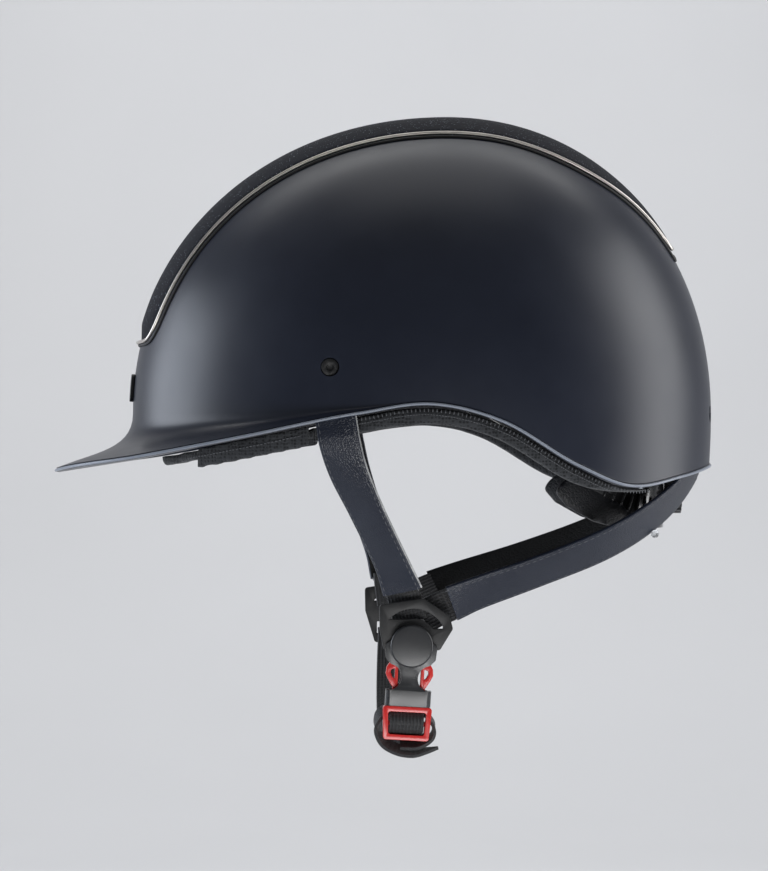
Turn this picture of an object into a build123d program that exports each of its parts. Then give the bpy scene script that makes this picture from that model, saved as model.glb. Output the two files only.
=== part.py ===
from build123d import *
import os
from math import atan2, cos, degrees, hypot, pi, radians, sin

# Riding helmet, millimetres. The wearer faces -X, +Z is up and the buckle hangs
# on the wearer's left, at -Y. X = Y = 0 is over the middle of the head, and
# Z = 0 is the level where the head enters.

# Shell
FRONT_REACH = 150.0        # from the widest section to the front, at the outside
REAR_REACH = 126.5         # from the widest section to the back
HALF_WIDTH = 108.0
CROWN_Z = 161.6
WIDEST_X = 12.0
WIDEST_Z = 22.0
DOME_POWER = 2.08          # 2 is an ellipse; more is squarer
FOOT_DROP = 0.48           # how far the dome runs on below its widest level, as a share of its rise
SHELL_WALL = 3.0
FRONT_X = WIDEST_X - FRONT_REACH
REAR_X = WIDEST_X + REAR_REACH
RIM_POINTS = [(FRONT_X - 52, -10), (FRONT_X - 36, -5.6), (FRONT_X + 8, 1.4), (FRONT_X + 58, 10.7), (-29, 20.9),
              (4, 25), (34.6, 17.5), (69.4, -2.4), (REAR_X - 45, -11.6), (REAR_X - 18.5, -7.7), (REAR_X + 11.5, 0.5)]

# Peak
PEAK_REACH = 35.5          # how far the tip stands ahead of the shell
PEAK_FLARE = 22.0          # height of the sweep above the rim at the front
PEAK_EDGE = 2.6
PEAK_HALF_ANGLE = 82.0

# Crown panel
PANEL_PROUD = 2.4
PANEL_FOOT_Z = 57.0
PANEL_REAR_X = REAR_X - 20.5
PANEL_WIDEST_X = 30.0
PANEL_HALF_WIDTH = 42.5
PANEL_FRONT_HALF = 36.0
PANEL_REAR_HALF = 18.0
PANEL_RECESS = 1.2
TRIM_WIDTH = 1.6
GASKET_WIDTH = 1.4

# Liner and padding
GLUE_GAP = 0.2
LINER_WALL = 26.0
LINER_SIDE_WALL = 20.0
PAD_WALL = 8.0
ROLL_OUTER_INSET = 7.2
ROLL_WALL = 12.0
ROLL_FRONT_X = -50.0
ROLL_REAR_X = 106.0
TEMPLE_PAD_WALL = 4.0
TEMPLE_PAD_DROP = 10.0
ROLL_DROP = 9.3
ROLL_TAIL_DROP = 3.5       # the straps pass close under the roll's rear end
BROW_ROLL_DROP = 6.6
SOFT_GAP = 0.6

# Harness
STRAP_WIDTH = 19.0
STRAP_WALL = 2.4
WEBBING_WIDTH = 15.5
WEBBING_WALL = 1.6
RIVET_HEAD_R = 3.9
RIVET_HOLE_R = 4.2
RIVET_SHANK_R = 2.0
SIDE_RIVET_X = -41.9
SIDE_RIVET_Z = 42.3
REAR_RIVET_Y = 18.0
REAR_RIVET_Z = 22.0

# Divider and buckle
PIVOT = (-5.4, -76.0, -83.6)     # centre of the buckle's pivot on the left divider
RIGHT_SHIFT = -7.6               # the right divider hangs this much further forward
HANG_ANGLE = 3.5                 # the buckle hangs with its foot this far forward
DIVIDER_WALL = 3.0
PIVOT_R = 3.0
PIVOT_CLEARANCE = 0.06
DISC_R = 9.7
DISC_WALL = 2.4
HEAD_WALL = 2.2
FACE_GAP = 0.35
SLEEVE_WIDTH = 20.6
SLEEVE_DEPTH = 9.0
SLEEVE_TOP = -19.4
SLEEVE_FOOT = -27.4
SLEEVE_WALL = 1.7
WINDOW_X = 9.6
WINDOW_Z = -14.5
WINDOW_R = 5.9
FRAME_WIDTH = 22.3
FRAME_HEIGHT = 15.2
FRAME_BAR = 2.4
FRAME_DEPTH = 6.0
PRONG_HINGE_Z = -27.0
PRONG_DEPTH = 3.8
EAR_REACH = 10.8
EAR_TOP = -7.6
EAR_FOOT = -18.6

# Fit system
CRADLE_REACH = 104.0
CRADLE_HALF_WIDTH = 62.0
CRADLE_WALL = 2.6
NAPE_PAD_WALL = 8.0
DIAL_R = 8.5
DIAL_WALL = 8.0
DIAL_Z = -17.0
SPINDLE_R = 3.0
SPINDLE_CLEARANCE = 0.06
BAND_WALL = 1.2
BAND_GAP = 0.5
BAND_POST_Z = 30.0

RIGHT_BAR = (PIVOT[0] + RIGHT_SHIFT, -PIVOT[1] - 2.5, PIVOT[2])
YAW = degrees(atan2(-RIGHT_SHIFT, RIGHT_BAR[1] - PIVOT[1]))


# ---------- shapes shared by shell, liner and padding ----------

def meridian():
    """Half outline of the dome at unit size, from its foot to its crown, closed on the axis."""
    turns = [pi / 2 * i / 10 for i in range(11)]
    upper = [(cos(t) ** (2 / DOME_POWER) if t < pi / 2 else 0, sin(t) ** (2 / DOME_POWER)) for t in turns]
    lower = [(1 - 0.22 * drop ** 2, -drop) for drop in (FOOT_DROP, 0.34, 0.17)]
    points = lower + upper
    edge = Spline(*[(r, 0, z) for r, z in points], tangents=[(0.44 * FOOT_DROP, 0, 1), (-1, 0, 0)])
    foot = Polyline((0, 0, 1), (0, 0, -FOOT_DROP), (lower[0][0], 0, -FOOT_DROP))
    return Face(Wire([edge] + list(foot.edges())))


def dome(inset, side_inset=None):
    """Solid dome whose walls lie this far inside the shell's outer face."""
    side = HALF_WIDTH - (inset if side_inset is None else side_inset)
    rise = CROWN_Z - WIDEST_Z - inset
    halves = []
    for turn, reach in ((-90, REAR_REACH - inset), (90, FRONT_REACH - inset)):
        half = revolve(meridian().rotate(Axis.Z, turn), Axis.Z, 180)
        halves.append(scale(half, by=(reach, side, rise)))
    return Pos(WIDEST_X, 0, WIDEST_Z) * (halves[0] + halves[1])


def side_block(points, half_depth=140, smooth=None):
    """Prism across the helmet over an outline in the side view; a smooth run comes first."""
    if smooth:
        run = Spline(*[(x, 0, z) for x, z in smooth])
        rest = Polyline(*[(x, 0, z) for x, z in [smooth[-1]] + points + [smooth[0]]])
        outline = Wire([run] + list(rest.edges()))
    else:
        outline = Wire(Polyline(*[(x, 0, z) for x, z in points], close=True).edges())
    return extrude(Face(outline), amount=half_depth, dir=(0, 1, 0), both=True)


def above_rim(lift=0.0, tail_lift=None):
    """Everything over the rim line, raised by lift, or by tail_lift towards the back."""
    lifts = [lift] * len(RIM_POINTS)
    if tail_lift is not None:
        lifts[-3:] = [tail_lift] * 3
    line = [(x, z + rise) for (x, z), rise in zip(RIM_POINTS, lifts)]
    return side_block([(RIM_POINTS[-1][0], 200), (RIM_POINTS[0][0], 200)], smooth=line)


def plan_block(x0, x1, y0, y1, z0=-60, z1=200):
    return Pos((x0 + x1) / 2, (y0 + y1) / 2, (z0 + z1) / 2) * Box(x1 - x0, y1 - y0, z1 - z0)


def band(outer, inner, side_outer=None, side_inner=None):
    return dome(outer, side_outer) - dome(inner, side_inner)


def largest(shape):
    return max(shape.solids(), key=lambda s: s.volume)


def rim_height(x):
    """Height of the rim at a place along the helmet, straight between its points."""
    for (x0, z0), (x1, z1) in zip(RIM_POINTS, RIM_POINTS[1:]):
        if x0 <= x <= x1:
            return z0 + (z1 - z0) * (x - x0) / (x1 - x0)
    return RIM_POINTS[-1][1]


# ---------- shell and crown ----------

def peak_section(turn):
    """Upright section through the peak at a turn from straight ahead, in degrees."""
    t = radians(turn)
    base_x = WIDEST_X - FRONT_REACH * 0.995 * cos(t)
    base_y = HALF_WIDTH * 0.995 * sin(t)
    out = Vector(-cos(t) / FRONT_REACH, sin(t) / HALF_WIDTH, 0).normalized()
    fade = cos(radians(90 * turn / PEAK_HALF_ANGLE)) ** 1.3
    reach = 1.0 + PEAK_REACH * fade
    rise = 4.0 + (PEAK_FLARE - 4.0) * fade
    foot_z = rim_height(base_x)
    tip_z = rim_height(base_x + out.X * reach)

    def at(s, z):
        return (base_x + out.X * s, base_y + out.Y * s, z)

    top = Spline(at(-1.5, foot_z + rise), at(reach * 0.22, foot_z + rise * 0.34),
                 at(reach, tip_z + PEAK_EDGE),
                 tangents=[(out.X * 0.15, out.Y * 0.15, -1), (out.X, out.Y, -0.25)])
    rest = Polyline(at(reach, tip_z + PEAK_EDGE), at(reach, tip_z), at(-1.5, foot_z), at(-1.5, foot_z + rise))
    return Face(Wire([top] + list(rest.edges())))


def peak():
    steps = 12
    turns = [PEAK_HALF_ANGLE * (2 * i / steps - 1) * 0.97 for i in range(steps + 1)]
    return loft([peak_section(t) for t in turns])


def panel_plan(margin):
    """Outline of the crown panel seen from above, with a margin round it, down to its front edge."""
    rear = PANEL_REAR_X + margin
    front = FRONT_X - 8
    foot = PANEL_FOOT_Z - margin
    side = [(front, PANEL_FRONT_HALF + margin), (-75, 39.5 + margin), (-20, 42 + margin),
            (PANEL_WIDEST_X, PANEL_HALF_WIDTH + margin), (80, 37 + margin), (rear, PANEL_REAR_HALF + margin)]
    left = Spline(*[(x, -y, foot) for x, y in side])
    right = Spline(*[(x, y, foot) for x, y in reversed(side)])
    ends = [Line(right @ 1, left @ 0), Line(left @ 1, right @ 0)]
    return extrude(Face(Wire([left, ends[1], right, ends[0]])), amount=140, dir=(0, 0, 1))


def outer_shell():
    wall = band(0, SHELL_WALL) & above_rim()
    seat = band(-1, PANEL_RECESS) & panel_plan(TRIM_WIDTH + GASKET_WIDTH)
    body = largest(wall) + peak()
    body = body - seat
    for side in (-1, 1):
        body -= Pos(SIDE_RIVET_X, side * 100, SIDE_RIVET_Z) * Rot(90, 0, 0) * Cylinder(RIVET_HOLE_R, 40)
        body -= Pos(REAR_X - 3.5, side * REAR_RIVET_Y, REAR_RIVET_Z) * Rot(0, 90, 0) * Cylinder(RIVET_HOLE_R, 40)
    return largest(body)


def crown_panel():
    return band(-PANEL_PROUD, PANEL_RECESS - GLUE_GAP) & panel_plan(0)


def crown_ring(outer_margin, inner_margin, proud):
    ring = panel_plan(outer_margin) - panel_plan(inner_margin)
    return band(-proud, PANEL_RECESS - GLUE_GAP) & ring


def front_badge():
    plate = Pos(FRONT_X, 0, 34.5) * Box(8, 26, 13)
    plate = fillet(plate.edges().filter_by(Axis.X), 3)
    return plate & band(-1.8, -0.2)


# ---------- liner and padding ----------

def strap_channel():
    """Room between shell and liner for each strap end and its rivet."""
    room = band(0, SHELL_WALL + STRAP_WALL + 3.2)
    cuts = []
    for side in (-1, 1):
        y0, y1 = sorted((side * 60, side * (HALF_WIDTH + 22)))
        cuts.append(room & plan_block(SIDE_RIVET_X - 13, SIDE_RIVET_X + 18, y0, y1, -30, 62))
    cuts.append(room & plan_block(100, 150, -52, 52, -30, 40))
    return cuts


def impact_liner():
    inner = SHELL_WALL + GLUE_GAP + LINER_WALL
    side_inner = SHELL_WALL + GLUE_GAP + LINER_SIDE_WALL
    body = band(SHELL_WALL + GLUE_GAP, inner, None, side_inner) & above_rim(1.0)
    for cut in strap_channel():
        body -= cut
    dial_x = WIDEST_X + CRADLE_REACH
    relief = plan_block(dial_x - 10, dial_x + 20, -DIAL_R - 1.5, DIAL_R + 1.5, z1=DIAL_Z + DIAL_R + 1)
    return largest(body - relief)


def liner_pad(x0, x1, y0, y1, z0):
    """Comfort pad on the liner's inner face within a box seen from above."""
    outer = SHELL_WALL + LINER_WALL + GLUE_GAP * 2
    side_outer = SHELL_WALL + LINER_SIDE_WALL + GLUE_GAP * 2
    body = band(outer, outer + PAD_WALL, side_outer, side_outer + PAD_WALL)
    return largest(body & plan_block(x0, x1, y0, y1, z0, 200) & above_rim(2.0))


def rim_roll(x0, x1, y0, y1, drop, outer_inset=ROLL_OUTER_INSET):
    """Padded roll under the liner's edge, hanging drop below the rim, less at the back."""
    body = band(outer_inset, ROLL_OUTER_INSET + ROLL_WALL)
    strip = above_rim(-drop, -ROLL_TAIL_DROP) - above_rim(1.0 - SOFT_GAP)
    return largest(body & plan_block(x0, x1, y0, y1) & strip)


def temple_pad(y0, y1):
    """Flat flap outside the brow roll, ahead of the front strap."""
    body = band(ROLL_OUTER_INSET, ROLL_OUTER_INSET + TEMPLE_PAD_WALL)
    strip = above_rim(-TEMPLE_PAD_DROP) - above_rim(1.0 - SOFT_GAP)
    return largest(body & plan_block(FRONT_X + 34, -51, y0, y1) & strip)


# ---------- straps ----------

def ribbon(stations, width, wall):
    """Flat strap through stations, each a centre and the direction of its width."""
    faces = []
    centres = [Vector(*centre) for centre, across in stations]
    for i, (centre, across) in enumerate(stations):
        run = (centres[min(i + 1, len(centres) - 1)] - centres[max(i - 1, 0)]).normalized()
        w = Vector(*across)
        w = (w - run * w.dot(run)).normalized() * (width / 2)
        n = run.cross(w).normalized() * (wall / 2)
        c = centres[i]
        faces.append(Face(Wire.make_polygon([c - w - n, c + w - n, c + w + n, c - w + n])))
    return loft(faces, ruled=True)


FRONT_STRAP = [
    ((-42, -93.4, 52), (1, -0.28, 0)),
    ((-42, -95.0, 36), (1, -0.28, 0)),
    ((-39, -96.4, 17), (1, -0.25, 0.1)),
    ((-37.5, -96.2, 8), (1, -0.25, 0.15)),
    ((-33.6, -92.0, -5), (1, -0.5, 0.3)),
    ((-25.8, -86.5, -22), (1, -0.8, 0.4)),
    ((-14.4, -78.5, -46), (1, -0.8, 0.4)),
    ((-9.4, -73.6, -59), (1, -0.45, 0.4)),
]
REAR_STRAP = [
    ((131.4, -20, 31), (-0.22, -1, 0)),
    ((131.4, -20, 13), (-0.22, -1, 0)),
    ((130.2, -21, 2), (-0.22, -1, 0.1)),
    ((126.6, -27, -6.5), (-0.2, -1, 0.5)),
    ((116.2, -38, -18), (-0.15, -1.0, 0.9)),
    ((101, -48.5, -29.2), (-0.1, -0.85, 1)),
    ((81.6, -57.5, -39.3), (0, -0.75, 1)),
    ((54, -64.5, -49.9), (0.1, -0.75, 1)),
    ((26, -68.8, -59.6), (0.2, -0.6, 1)),
    ((13, -70.0, -64.8), (0.3, -0.4, 1)),
]
FRONT_END = [((-9.1, -70.2, -59.6), (1, -0.2, 0.4)), ((-6.0, -70.6, -72), (1, 0, 0.3))]
REAR_END = [((12.5, -65.6, -65.4), (0.35, -0.3, 1)), ((1, -66.4, -71), (0.35, 0, 1))]


def on_right(stations, shift_from):
    """The same stations mirrored, carried forward with the right divider."""
    shift_to = FRONT_END[-1][0][2]
    result = []
    for (x, y, z), (ax, ay, az) in stations:
        share = min(max((shift_from - z) / (shift_from - shift_to), 0), 1)
        result.append(((x + RIGHT_SHIFT * share, -y, z), (ax, -ay, az)))
    return result


def front_strap(stations):
    """Leather strap with the hole for its side rivet."""
    y = stations[1][0][1]
    hole = Pos(SIDE_RIVET_X, y, SIDE_RIVET_Z) * Rot(90, 0, 0) * Cylinder(RIVET_SHANK_R + 0.15, 12)
    return ribbon(stations, STRAP_WIDTH, STRAP_WALL) - hole


def rear_strap(stations):
    """Leather strap with the hole for its rear rivet."""
    side = 1 if stations[0][0][1] > 0 else -1
    hole = Pos(REAR_STRAP[0][0][0], side * REAR_RIVET_Y, REAR_RIVET_Z)
    return ribbon(stations, STRAP_WIDTH, STRAP_WALL) - hole * Rot(0, 90, 0) * Cylinder(RIVET_SHANK_R + 0.15, 12)


def rivet():
    """Push rivet about its own axis, head at +Z with a dimple, shank below."""
    head = Cylinder(RIVET_HEAD_R, 1.6) - Pos(0, 0, 0.6) * Cylinder(1.5, 1.0)
    shank = Pos(0, 0, -2.6) * Cylinder(RIVET_SHANK_R, 3.6)
    return head + shank


def side_rivets():
    strap_face = -FRONT_STRAP[1][0][1] + STRAP_WALL / 2 + 1.9
    return [Pos(SIDE_RIVET_X, side * strap_face, SIDE_RIVET_Z) * Rot(-90 * side, 0, 0) * rivet()
            for side in (-1, 1)]


def rear_rivets():
    strap_face = REAR_STRAP[0][0][0] + STRAP_WALL / 2 + 2.3
    return [Pos(strap_face, side * REAR_RIVET_Y, REAR_RIVET_Z) * Rot(0, 90, 0) * rivet() for side in (-1, 1)]


def strap_studs():
    """Small clear stud under the lower edge of each rear strap."""
    return [Pos(108.4, side * 41.0, -34.0) * Sphere(1.9) for side in (-1, 1)]


# ---------- dividers and buckle, built about the pivot ----------

def placed(shape, hang=True):
    """Move a shape from the pivot's own frame to the helmet."""
    turn = Rot(0, HANG_ANGLE, 0) if hang else Rot(0, 0, 0)
    return Pos(*PIVOT) * Rot(0, 0, YAW) * turn * shape


def upright(points, y0, y1, radius=0.0):
    """Prism over an outline seen from the side, between two depths."""
    face = make_face(Polyline(*[(x, y0, z) for x, z in points], close=True))
    body = extrude(face, amount=y1 - y0, dir=(0, 1, 0))
    if radius:
        body = fillet(body.edges().filter_by(Axis.Y), radius)
    return body


def post(x, z, radius, y0, y1):
    return Pos(x, (y0 + y1) / 2, z) * Rot(90, 0, 0) * Cylinder(radius, y1 - y0)


DIVIDER_TOP = [(-14.5, 18.5), (5.5, 21.5), (17.5, 13.5), (19, 7.5)]
LEFT_FOOT = [(13, -2.2), (-12.5, -2.2), (-14.3, 7)]
RIGHT_FOOT = [(11.5, -5.5), (10.5, -9), (-9.5, -9), (-10.5, -5.5), (-14.3, 7)]


def divider(y0, right=False):
    """Plate with an arched strap slot; the right one ends in a bar for the webbing."""
    y1 = y0 + DIVIDER_WALL
    body = upright(DIVIDER_TOP + (RIGHT_FOOT if right else LEFT_FOOT), y0, y1, 1.6)
    slot = post(1, 1.5, 15.2, y0 - 1, y1 + 1) - post(1, 1.5, 10.8, y0 - 2, y1 + 2)
    slot &= upright([(-10.2, 12), (-10.2, 30), (13, 30), (14.5, 7.6), (8, 7.6), (0, 12)], y0 - 1, y1 + 1)
    body -= slot
    if right:
        return body - Pos(0, (y0 + y1) / 2, -1.5) * Box(WEBBING_WIDTH + 1.2, 20, 6)
    body += post(0, 0, DISC_R - 0.5, y0, y1)
    return body - post(0, 0, PIVOT_R + PIVOT_CLEARANCE, y0 - 1, y1 + 1)


def socket():
    """Buckle socket: round head on the pivot, two neck skins and the sleeve."""
    head_y0 = -FACE_GAP - HEAD_WALL
    head = post(0, 0, DISC_R - 0.7, head_y0, -FACE_GAP)
    shoulders = [(-11.8, 0), (-11.3, -6), (-8.6, -8.8), (8.6, -8.8), (11.3, -6), (11.8, 0), (8, 3), (-8, 3)]
    head += upright(shoulders, head_y0, -FACE_GAP, 0.8)
    back = SLEEVE_DEPTH + head_y0
    skin = [(-8.6, -8), (8.6, -8), (SLEEVE_WIDTH / 2, SLEEVE_TOP - 1), (-SLEEVE_WIDTH / 2, SLEEVE_TOP - 1)]
    front_skin = upright(skin, head_y0, head_y0 + SLEEVE_WALL)
    back_skin = upright(skin, back - SLEEVE_WALL, back) - post(0, 0, 11.5, -20, 20)
    bridge = upright([(-1.9, -10.2), (1.9, -10.2), (1.9, -12.6), (-1.9, -12.6)], head_y0 + 0.5, back)
    middle = (SLEEVE_TOP + SLEEVE_FOOT) / 2
    height = SLEEVE_TOP - SLEEVE_FOOT
    sleeve = Pos(0, (head_y0 + back) / 2, middle) * Box(SLEEVE_WIDTH, SLEEVE_DEPTH, height)
    sleeve = fillet(sleeve.edges().filter_by(Axis.Z), 2.2)
    hollow = Pos(0, (head_y0 + back) / 2, middle) * Box(SLEEVE_WIDTH - 2 * SLEEVE_WALL,
                                                       SLEEVE_DEPTH - 2 * SLEEVE_WALL, height + 2)
    body = head + front_skin + back_skin + bridge + (sleeve - hollow)
    for side in (-1, 1):
        body -= post(side * WINDOW_X, WINDOW_Z, WINDOW_R, -20, 20)
    return largest(body - post(0, 0, PIVOT_R, -20, 20))


def buckle_depths():
    """Front and back faces of the sleeve, in the pivot's frame."""
    front = -FACE_GAP - HEAD_WALL
    return front, front + SLEEVE_DEPTH


def pivot_cap():
    """Round cap on the socket's head, with its pin through the divider."""
    front = buckle_depths()[0]
    disc = post(0, 0, DISC_R, front - DISC_WALL, front)
    disc = chamfer(disc.edges().sort_by(Axis.Y)[0], 0.6)
    pin = post(0, 0, PIVOT_R, front, DIVIDER_WALL + 0.3)
    snap = post(0, 0, PIVOT_R + 1.2, DIVIDER_WALL + 0.3, DIVIDER_WALL + 1.5)
    return disc + pin + snap


def tongue():
    """Frame of the buckle tongue with its webbing bar and the block that enters the sleeve."""
    front, back = buckle_depths()
    mid = (front + back) / 2
    top = SLEEVE_FOOT - 0.3
    foot = top - FRAME_HEIGHT
    y0 = mid - FRAME_DEPTH / 2
    y1 = mid + FRAME_DEPTH / 2
    half = FRAME_WIDTH / 2
    body = upright([(-half, top), (half, top), (half - 0.8, foot), (-half + 0.8, foot)], y0, y1, 1.4)
    window = upright([(-half + FRAME_BAR, top - FRAME_BAR), (half - FRAME_BAR, top - FRAME_BAR),
                      (half - FRAME_BAR - 0.6, foot + FRAME_BAR), (-half + FRAME_BAR + 0.6, foot + FRAME_BAR)],
                     y0 - 1, y1 + 1, 1.2)
    bar_z = top - FRAME_HEIGHT * 0.52
    bar = Pos(0, y1 - 1.3, bar_z) * Rot(0, 90, 0) * Cylinder(1.2, FRAME_WIDTH - 3)
    block = Pos(0, mid, top + 1.5) * Box(6.0, 4.0, 3.4)
    return body - window + bar + block


def prong(side):
    """Spring arm of the tongue with the ear that is squeezed; side is -1 or 1 along X."""
    front, back = buckle_depths()
    mid = (front + back) / 2
    y0 = mid - PRONG_DEPTH / 2
    y1 = mid + PRONG_DEPTH / 2
    arm = [(5.0, PRONG_HINGE_Z + 0.2), (7.4, PRONG_HINGE_Z + 0.2), (7.4, SLEEVE_TOP + 0.4),
           (7.9, EAR_FOOT), (9.6, EAR_FOOT + 2.8), (EAR_REACH, EAR_FOOT + 5.4), (EAR_REACH - 0.3, EAR_TOP - 2.6),
           (9.0, EAR_TOP), (6.0, EAR_TOP), (5.2, EAR_TOP - 2)]
    body = upright([(side * x, z) for x, z in arm], y0, y1)
    hole = [(6.7, EAR_FOOT + 3.2), (7.7, EAR_FOOT + 4.0), (8.6, EAR_FOOT + 6.0), (8.4, EAR_TOP - 3.6), (6.7, EAR_TOP - 3.0)]
    return body - upright([(side * x, z) for x, z in hole], y0 - 1, y1 + 1)


def webbing_run(path):
    """Webbing across the buckle's plane, through (y, z) points in the pivot's frame."""
    return ribbon([((0, y, z), (1, 0, 0)) for y, z in path], WEBBING_WIDTH, WEBBING_WALL)


def chin_webbing():
    """Webbing under the jaw, from behind the tongue's bar across to the right divider."""
    back = buckle_depths()[1]
    span = hypot(RIGHT_BAR[0] - PIVOT[0], RIGHT_BAR[1] - PIVOT[1])
    return webbing_run([(back + 1.6, -36), (back + 5, -44), (22, -49), (60, -50), (100, -46),
                        (126, -34), (span - 9, -18), (span - 4.5, -7)])


def webbing_loop():
    """Webbing over the tongue's bar, and its tail curling round under the frame."""
    front, back = buckle_depths()
    over_bar = [(back - 2.6, -31.4), (front + 2.2, -32.4), (front + 1.6, -35.6), (front + 2.4, -38.8)]
    tail = [(front - 2.2, -44.4), (front - 3.4, -46.4), (front - 1.0, -48.4), (4, -49.4)]
    return [webbing_run(over_bar), webbing_run(tail)]


# ---------- fit system ----------

def oval_tube(inset, wall):
    """Upright oval wall round the nape, this far inside the cradle's outer face."""
    outer = Ellipse(CRADLE_REACH - inset, CRADLE_HALF_WIDTH - inset)
    inner = Ellipse(CRADLE_REACH - inset - wall, CRADLE_HALF_WIDTH - inset - wall)
    return Pos(WIDEST_X, 0, -80) * extrude(outer - inner, amount=120)


def nape_cradle():
    window = side_block([(70, -9), (92, -20), (108, -32), (122, -32), (122, -11.5), (112, -11.5), (100, -14), (84, -6.5)])
    body = oval_tube(0, CRADLE_WALL) & window
    bore = Pos(WIDEST_X + CRADLE_REACH, 0, DIAL_Z) * Rot(0, 90, 0) * Cylinder(SPINDLE_R + SPINDLE_CLEARANCE, 12)
    return largest(body - bore)


def nape_pad():
    window = side_block([(60, -15), (63, -9.5), (69, -5.5), (79, -7.2), (92, -13.5), (122, -15), (122, -32), (100, -34),
                         (80, -30), (66, -22)])
    body = oval_tube(CRADLE_WALL + 0.3, NAPE_PAD_WALL) & window
    return largest(body)


def fit_dial():
    """Knurled knob behind the cradle on a short spindle."""
    x0 = WIDEST_X + CRADLE_REACH + 0.4
    knob = Pos(x0 + DIAL_WALL / 2, 0, DIAL_Z) * Rot(0, 90, 0) * Cylinder(DIAL_R, DIAL_WALL)
    spindle = Pos(x0 - 1.2, 0, DIAL_Z) * Rot(0, 90, 0) * Cylinder(SPINDLE_R, 3.2)
    for i in range(16):
        turn = 2 * pi * i / 16
        notch = Pos(x0 + DIAL_WALL / 2 + 1, DIAL_R * cos(turn), DIAL_Z + DIAL_R * sin(turn))
        knob -= notch * Rot(0, 90, 0) * Cylinder(0.9, DIAL_WALL)
    return knob + spindle


def fit_bands():
    """Thin bands from a post on the liner down to the cradle's ends, left and right."""
    window = side_block([(20, 35), (20, 26), (60, 2), (90, -17), (90, -9), (62, 10), (28, 35)])
    ring = oval_tube(-BAND_GAP - BAND_WALL, BAND_WALL) & window
    liner_face = HALF_WIDTH - SHELL_WALL - LINER_SIDE_WALL - 1.5
    bands = {}
    for side, name in ((-1, "fit_band_left"), (1, "fit_band_right")):
        half = largest(ring & plan_block(0, 130, min(0, side * 90), max(0, side * 90)))
        start = CRADLE_HALF_WIDTH + BAND_GAP
        pin = post(25, BAND_POST_Z, 2.5, min(side * start, side * liner_face), max(side * start, side * liner_face))
        bands[name] = half + pin
    return bands


# ---------- all nodes ----------

def shell_nodes():
    return {
        "outer_shell": outer_shell(),
        "crown_panel": crown_panel(),
        "crown_trim": crown_ring(TRIM_WIDTH, GLUE_GAP, PANEL_PROUD - 0.6),
        "crown_gasket": crown_ring(TRIM_WIDTH + GASKET_WIDTH - GLUE_GAP, TRIM_WIDTH + GLUE_GAP, 0.8),
        "front_badge": front_badge(),
    }


def padding_nodes():
    nodes = {
        "impact_liner": impact_liner(),
        "crown_pad": liner_pad(-50, 62, -40, 40, 60),
        "brow_pad": liner_pad(FRONT_X + 13, FRONT_X + 68, -60, 60, 16),
        "brow_roll": rim_roll(FRONT_X - 2, -52, -110, 110, BROW_ROLL_DROP, ROLL_OUTER_INSET + TEMPLE_PAD_WALL + 1),
    }
    for side, name in ((-1, "left"), (1, "right")):
        y0, y1 = min(0, side * 120), max(0, side * 120)
        nodes["side_roll_" + name] = rim_roll(ROLL_FRONT_X, ROLL_REAR_X, y0, y1, ROLL_DROP)
        nodes["temple_pad_" + name] = temple_pad(y0, y1)
        nodes["side_pad_" + name] = liner_pad(-45, 70, y0 + 62 * (side > 0), y1 - 62 * (side < 0), 46)
    return nodes


def harness_nodes():
    nodes = {
        "front_strap_left": front_strap(FRONT_STRAP),
        "front_strap_right": front_strap(on_right(FRONT_STRAP, 0)),
        "rear_strap_left": rear_strap(REAR_STRAP),
        "rear_strap_right": rear_strap(on_right(REAR_STRAP, -20)),
        "side_rivets": side_rivets(),
        "rear_rivets": rear_rivets(),
        "strap_studs": strap_studs(),
        "divider_left": placed(divider(0), hang=False),
        "divider_right": Pos(RIGHT_BAR[0], RIGHT_BAR[1], RIGHT_BAR[2]) * divider(0, right=True),
    }
    for name, stations in (("front_webbing", FRONT_END), ("rear_webbing", REAR_END)):
        nodes[name + "_left"] = ribbon(stations, WEBBING_WIDTH, WEBBING_WALL)
        nodes[name + "_right"] = ribbon(on_right(stations, 0), WEBBING_WIDTH, WEBBING_WALL)
    return nodes


def buckle_nodes():
    return {
        "buckle_socket": placed(socket()),
        "pivot_cap": placed(pivot_cap()),
        "buckle_tongue": placed(tongue()),
        "prong_front": placed(prong(-1)),
        "prong_rear": placed(prong(1)),
        "chin_webbing": placed(chin_webbing()),
        "webbing_loop": [placed(run) for run in webbing_loop()],
    }


def fit_nodes():
    nodes = {"nape_cradle": nape_cradle(), "nape_pad": nape_pad(), "fit_dial": fit_dial()}
    nodes.update(fit_bands())
    return nodes


def write(nodes):
    for name, shape in nodes.items():
        solids = shape if isinstance(shape, list) else shape.solids()
        export_step(Compound(children=list(solids)) if len(solids) > 1 else solids[0], "parts/" + name + ".step")


if __name__ == "__main__":
    os.makedirs("parts", exist_ok=True)
    for make in (shell_nodes, padding_nodes, harness_nodes, buckle_nodes, fit_nodes):
        write(make())
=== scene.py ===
import math

import bmesh
import bpy
import numpy as np
from mathutils import Matrix, Vector


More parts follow.
